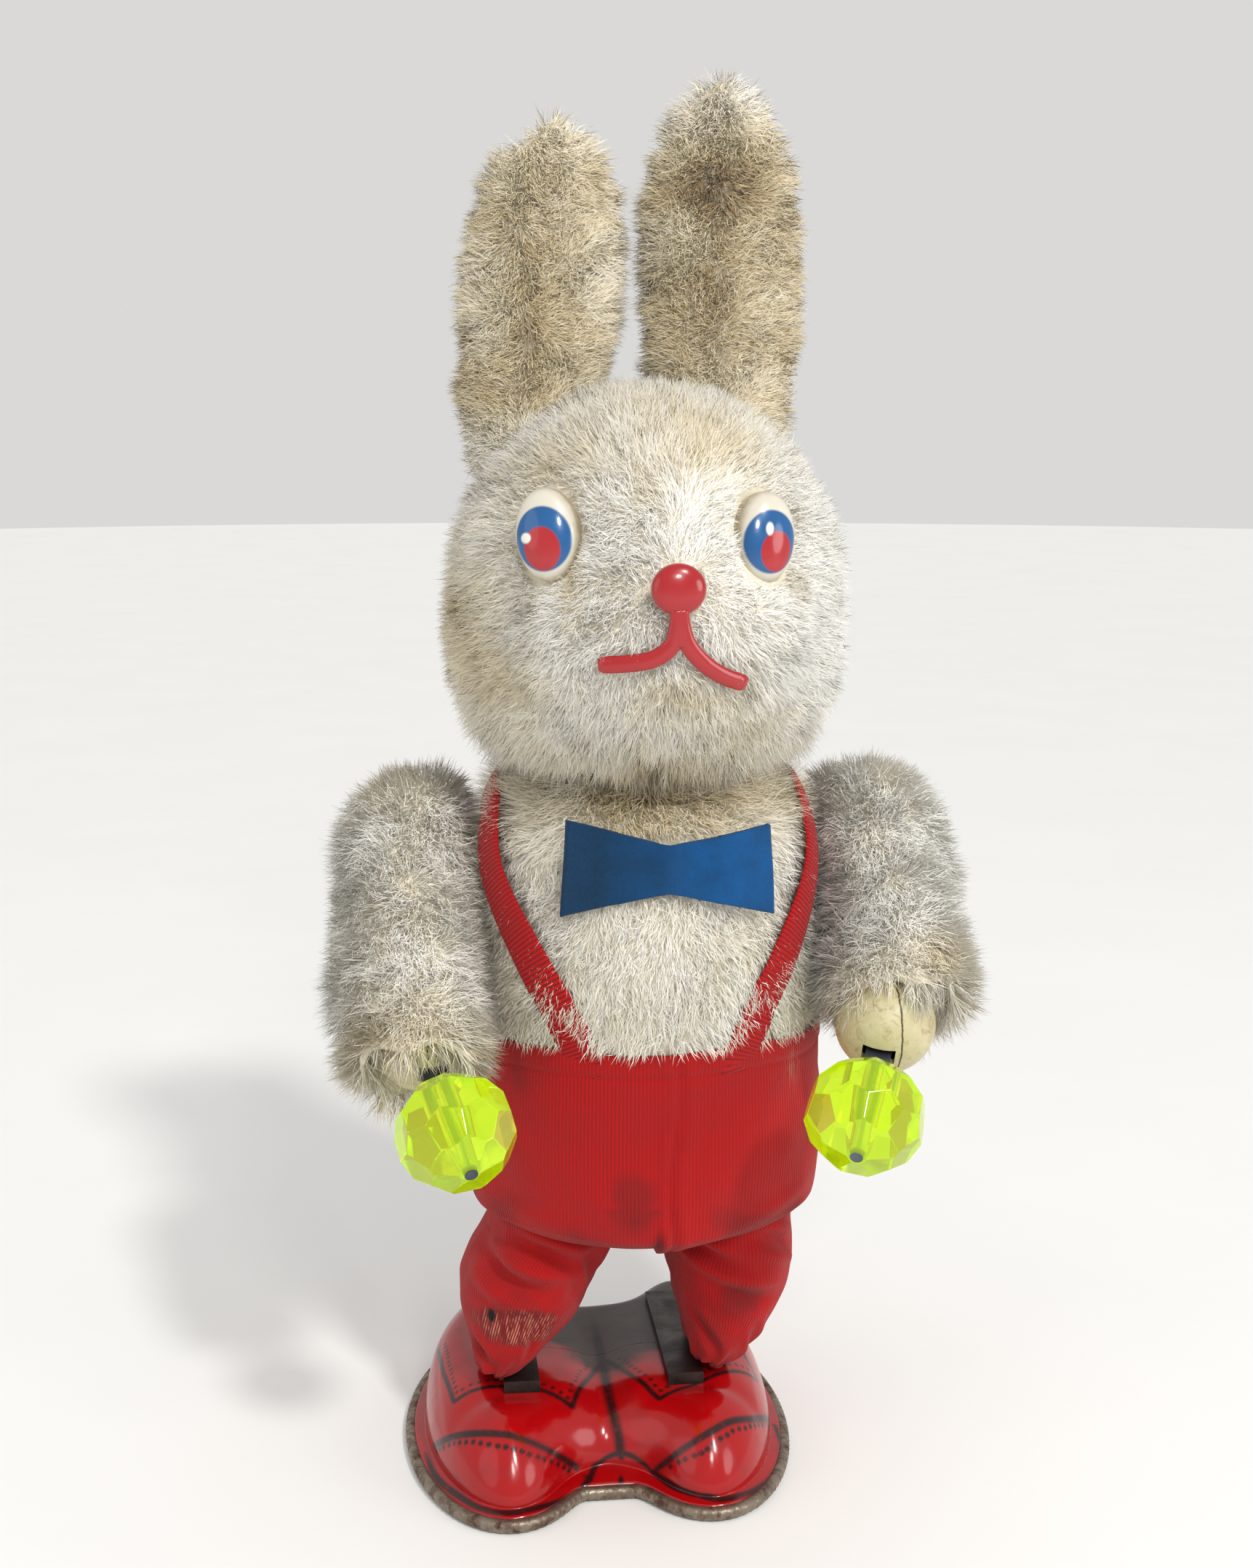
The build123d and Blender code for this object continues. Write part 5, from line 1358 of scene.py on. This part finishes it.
def build_sleeve(name, side):
    hand = np.array(HANDS[name])
    start = np.array((BODY_X + side * SLEEVE_X, 0.0, SHOULDER_Z))
    down = unit(np.array((0.0, hand[1], hand[2] - SHOULDER_Z)))
    across, back = np.array((1.0, 0, 0)), np.cross(down, np.array((1.0, 0, 0)))
    angles = turns(96)
    circle = np.cos(angles)[:, None] * across + np.sin(angles)[:, None] * back
    grid = []
    for along in np.concatenate((np.linspace(-8.6, -4, 10), np.linspace(-3, CUFF[name], 40))):
        (share,) = stations_at(SLEEVE_PROFILE, along)
        radius = SLEEVE_RADIUS * share
        lean = -side * 11.9 * (1 - share) / 2
        ragged = 0.9 * smoothstep(CUFF[name] - 7, CUFF[name], along) * np.sin(5 * angles + side)
        push = 0.5 * np.sin(3 * angles + along / 6)
        ring = start + down * along + (radius + push)[:, None] * circle
        grid.append(ring + across * lean + down * ragged[:, None])
    inner = grid[-1]
    middle = inner.mean(0)
    for share, lift in ((0.93, 0.5), (0.86, -1.5), (0.84, -6.0)):
        grid.append(middle + (inner - middle) * share + down * lift)
    obj = grid_object(f"sleeve_skin_{name}", np.array(grid), cap_first=True)
    finish_piece(obj, "arms", pile_backing, [f"sleeve_{name}"])

    def tone(roots):
        along = (roots - start) @ down
        cuff = smoothstep(CUFF[name] - 12, CUFF[name] - 1, along)
        value = 0.55 + 0.8 * ripple(roots, 9, 71 + len(name)) + 0.4 * ripple(roots, 3.5, 5) + 1.5 * cuff
        # darker at the shoulder; the left sleeve, on the viewer's right, is lighter: painted light on that
        # sleeve
        value += 0.7 * smoothstep(2, -8, along) - 0.7 * side * (side > 0)
        if name == "left":
            value += 2.5 * bump_at(roots, (50, -22, 92), (3.2, 8, 2.4))
        return value

    def lie(roots, normals):
        return np.tile(down, (len(roots), 1)) + 0.25 * unit(roots - (start + down * 4))

    def matted(roots):
        along = (roots - start) @ down
        return (along < CUFF[name] - 0.6) | (along > CUFF[name] + 0.3)

    def tufted(roots):
        along = (roots - start) @ down
        flare = 0.3 * smoothstep(CUFF[name] - 16, CUFF[name] - 3, along)
        return 1.12 + 0.3 * ripple(roots, 6, 17 + side) + flare

    pile(f"sleeve_fur_{name}", obj, "arms", "plush_white", 44000, 81 + len(name), 4.4, lie, 0.35,
         tone, matted, tufted)


for name, side in SIDES.items():
    build_sleeve(name, side)

# ---------------------------------------------------------------- beads and hands
def build_bead(name):
    """A bead cut into rows of flat facets round its bore, and drilled through."""
    node = f"bead_{name}"
    centre = centre_of(node)
    radius = float(half_of(node).max())
    hand = np.array(HANDS[name])
    bore = unit(centre - hand)
    side = unit(np.cross(bore, (1.0, 0, 0)))
    third = np.cross(bore, side)
    cut = bmesh.new()
    bmesh.ops.create_cube(cut, size=2.4 * radius)
    for rise, number, offset, reach in BEAD_ROWS:
        for k in range(number):
            angle = tau * (k + offset) / number
            way = bore * sin(radians(rise)) + (side * cos(angle) + third * sin(angle)) * cos(radians(rise))
            flat = {"plane_co": Vector(way * reach * radius), "plane_no": Vector(way), "clear_outer": True}
            made = bmesh.ops.bisect_plane(cut, geom=cut.verts[:] + cut.edges[:] + cut.faces[:], **flat)
            edges = [part for part in made["geom_cut"] if isinstance(part, bmesh.types.BMEdge)]
            bmesh.ops.contextual_create(cut, geom=edges)
    bmesh.ops.recalc_face_normals(cut, faces=cut.faces)
    bmesh.ops.scale(cut, vec=(MM, MM, MM), verts=cut.verts)
    bmesh.ops.translate(cut, vec=Vector(centre) * MM, verts=cut.verts)
    mesh = bpy.data.meshes.new(f"faceted_bead_{name}")
    cut.to_mesh(mesh)
    cut.free()
    obj = place_object(f"faceted_bead_{name}", mesh)
    angles = turns(40)
    ring = np.cos(angles)[:, None] * side + np.sin(angles)[:, None] * third
    rings = [centre + bore * step + ring * BEAD_BORE for step in (-1.3 * radius, 0.9 * radius)]
    drill = grid_object("drill", np.array(rings), cap_first=True, cap_last=True)
    hole = obj.modifiers.new("bore", "BOOLEAN")
    hole.operation, hole.object, hole.solver = "DIFFERENCE", drill, "EXACT"
    edge = obj.modifiers.new("edges", "BEVEL")
    edge.width, edge.segments, edge.limit_method, edge.angle_limit = 0.12 * MM, 2, "ANGLE", radians(12)
    apply_modifiers(obj)
    bpy.data.objects.remove(drill)
    finish_piece(obj, "arms", bead_materials[0], [node])
    obj.data.materials.append(bead_materials[1])
    # facets turned to the sides take the second material: a painted reflection
    for number, polygon in enumerate(obj.data.polygons):
        if abs(polygon.normal.x) > 0.7 and polygon.area > 3 * MM**2 and number % 3:
            polygon.material_index = 1


BEAD_BORE = 1.45
# degrees above the middle, facets, turn in facets, and share of the radius
BEAD_ROWS = (
    (0, 9, 0.0, 0.955), (36, 9, 0.5, 0.955), (-36, 9, 0.5, 0.955),
    (66, 6, 0.0, 0.95), (-66, 6, 0.0, 0.95), (90, 1, 0.0, 0.98), (-90, 1, 0.0, 0.9),
)


def clear_plastic(name, glow, low, high):
    """See-through plastic with a little painted glow, mixed from two colours."""
    s = Surface(name, Transmission_Weight=0.8, IOR=1.49, Specular_IOR_Level=0.6,
                Emission_Color=glow, Emission_Strength=0.16)
    s.colour(s.mix(s.noise(4, 3), low, high))
    s.rough(s.noise(2.5, 3), (0.3, 0.03), (0.8, 0.12))
    return s.material


# both beads glow by their emission, though they are no lamps: a painted glow
bead_materials = (
    clear_plastic("fluorescent_plastic", shade(190, 226, 0), shade(186, 218, 4), shade(212, 236, 34)),
    # the tint of the facets turned to the sides: a painted reflection
    clear_plastic("painted_reflection_facets", shade(150, 130, 20), shade(176, 140, 40), shade(200, 170, 70)),
)
for name in SIDES:
    build_bead(name)


def aged_shell(name):
    """Old cream plastic, stained, with the mould's seam down its front."""
    middle = centre_of(f"hand_{name}")[0] * MM
    s = Surface(f"aged_shell_{name}", Specular_IOR_Level=0.45)
    split = s.x()
    waver = s.times(s.noise(3, 4, 0.7), 0.8 * MM)
    seam = s.maths("ABSOLUTE", s.maths("SUBTRACT", s.plus(split, waver), middle + 1.2 * MM))
    crack = s.ramp(s.times(seam, 1 / MM), (0.05, 1.0), (0.2, 0.0))
    cream = s.mix(s.noise(5, 5, 0.65, 0.5), shade(170, 158, 112), shade(214, 206, 172))
    stained = s.mix(s.ramp(s.noise(2.6, 5, 0.7, 1.0), (0.52, 0.0), (0.7, 0.7)), cream, shade(134, 104, 58))
    s.colour(s.mix(crack, stained, shade(60, 44, 26)))
    s.rough(s.noise(2, 4), (0.3, 0.3), (0.8, 0.6))
    s.bump(s.maths("SUBTRACT", s.noise(1.5, 4), crack), 0.12)
    return s.material


for name in SIDES:
    new_material(frame["nodes"][f"arm_strip_{name}"], METALS["arm_strip"])
    new_material(frame["nodes"][f"hand_{name}"], aged_shell(name))
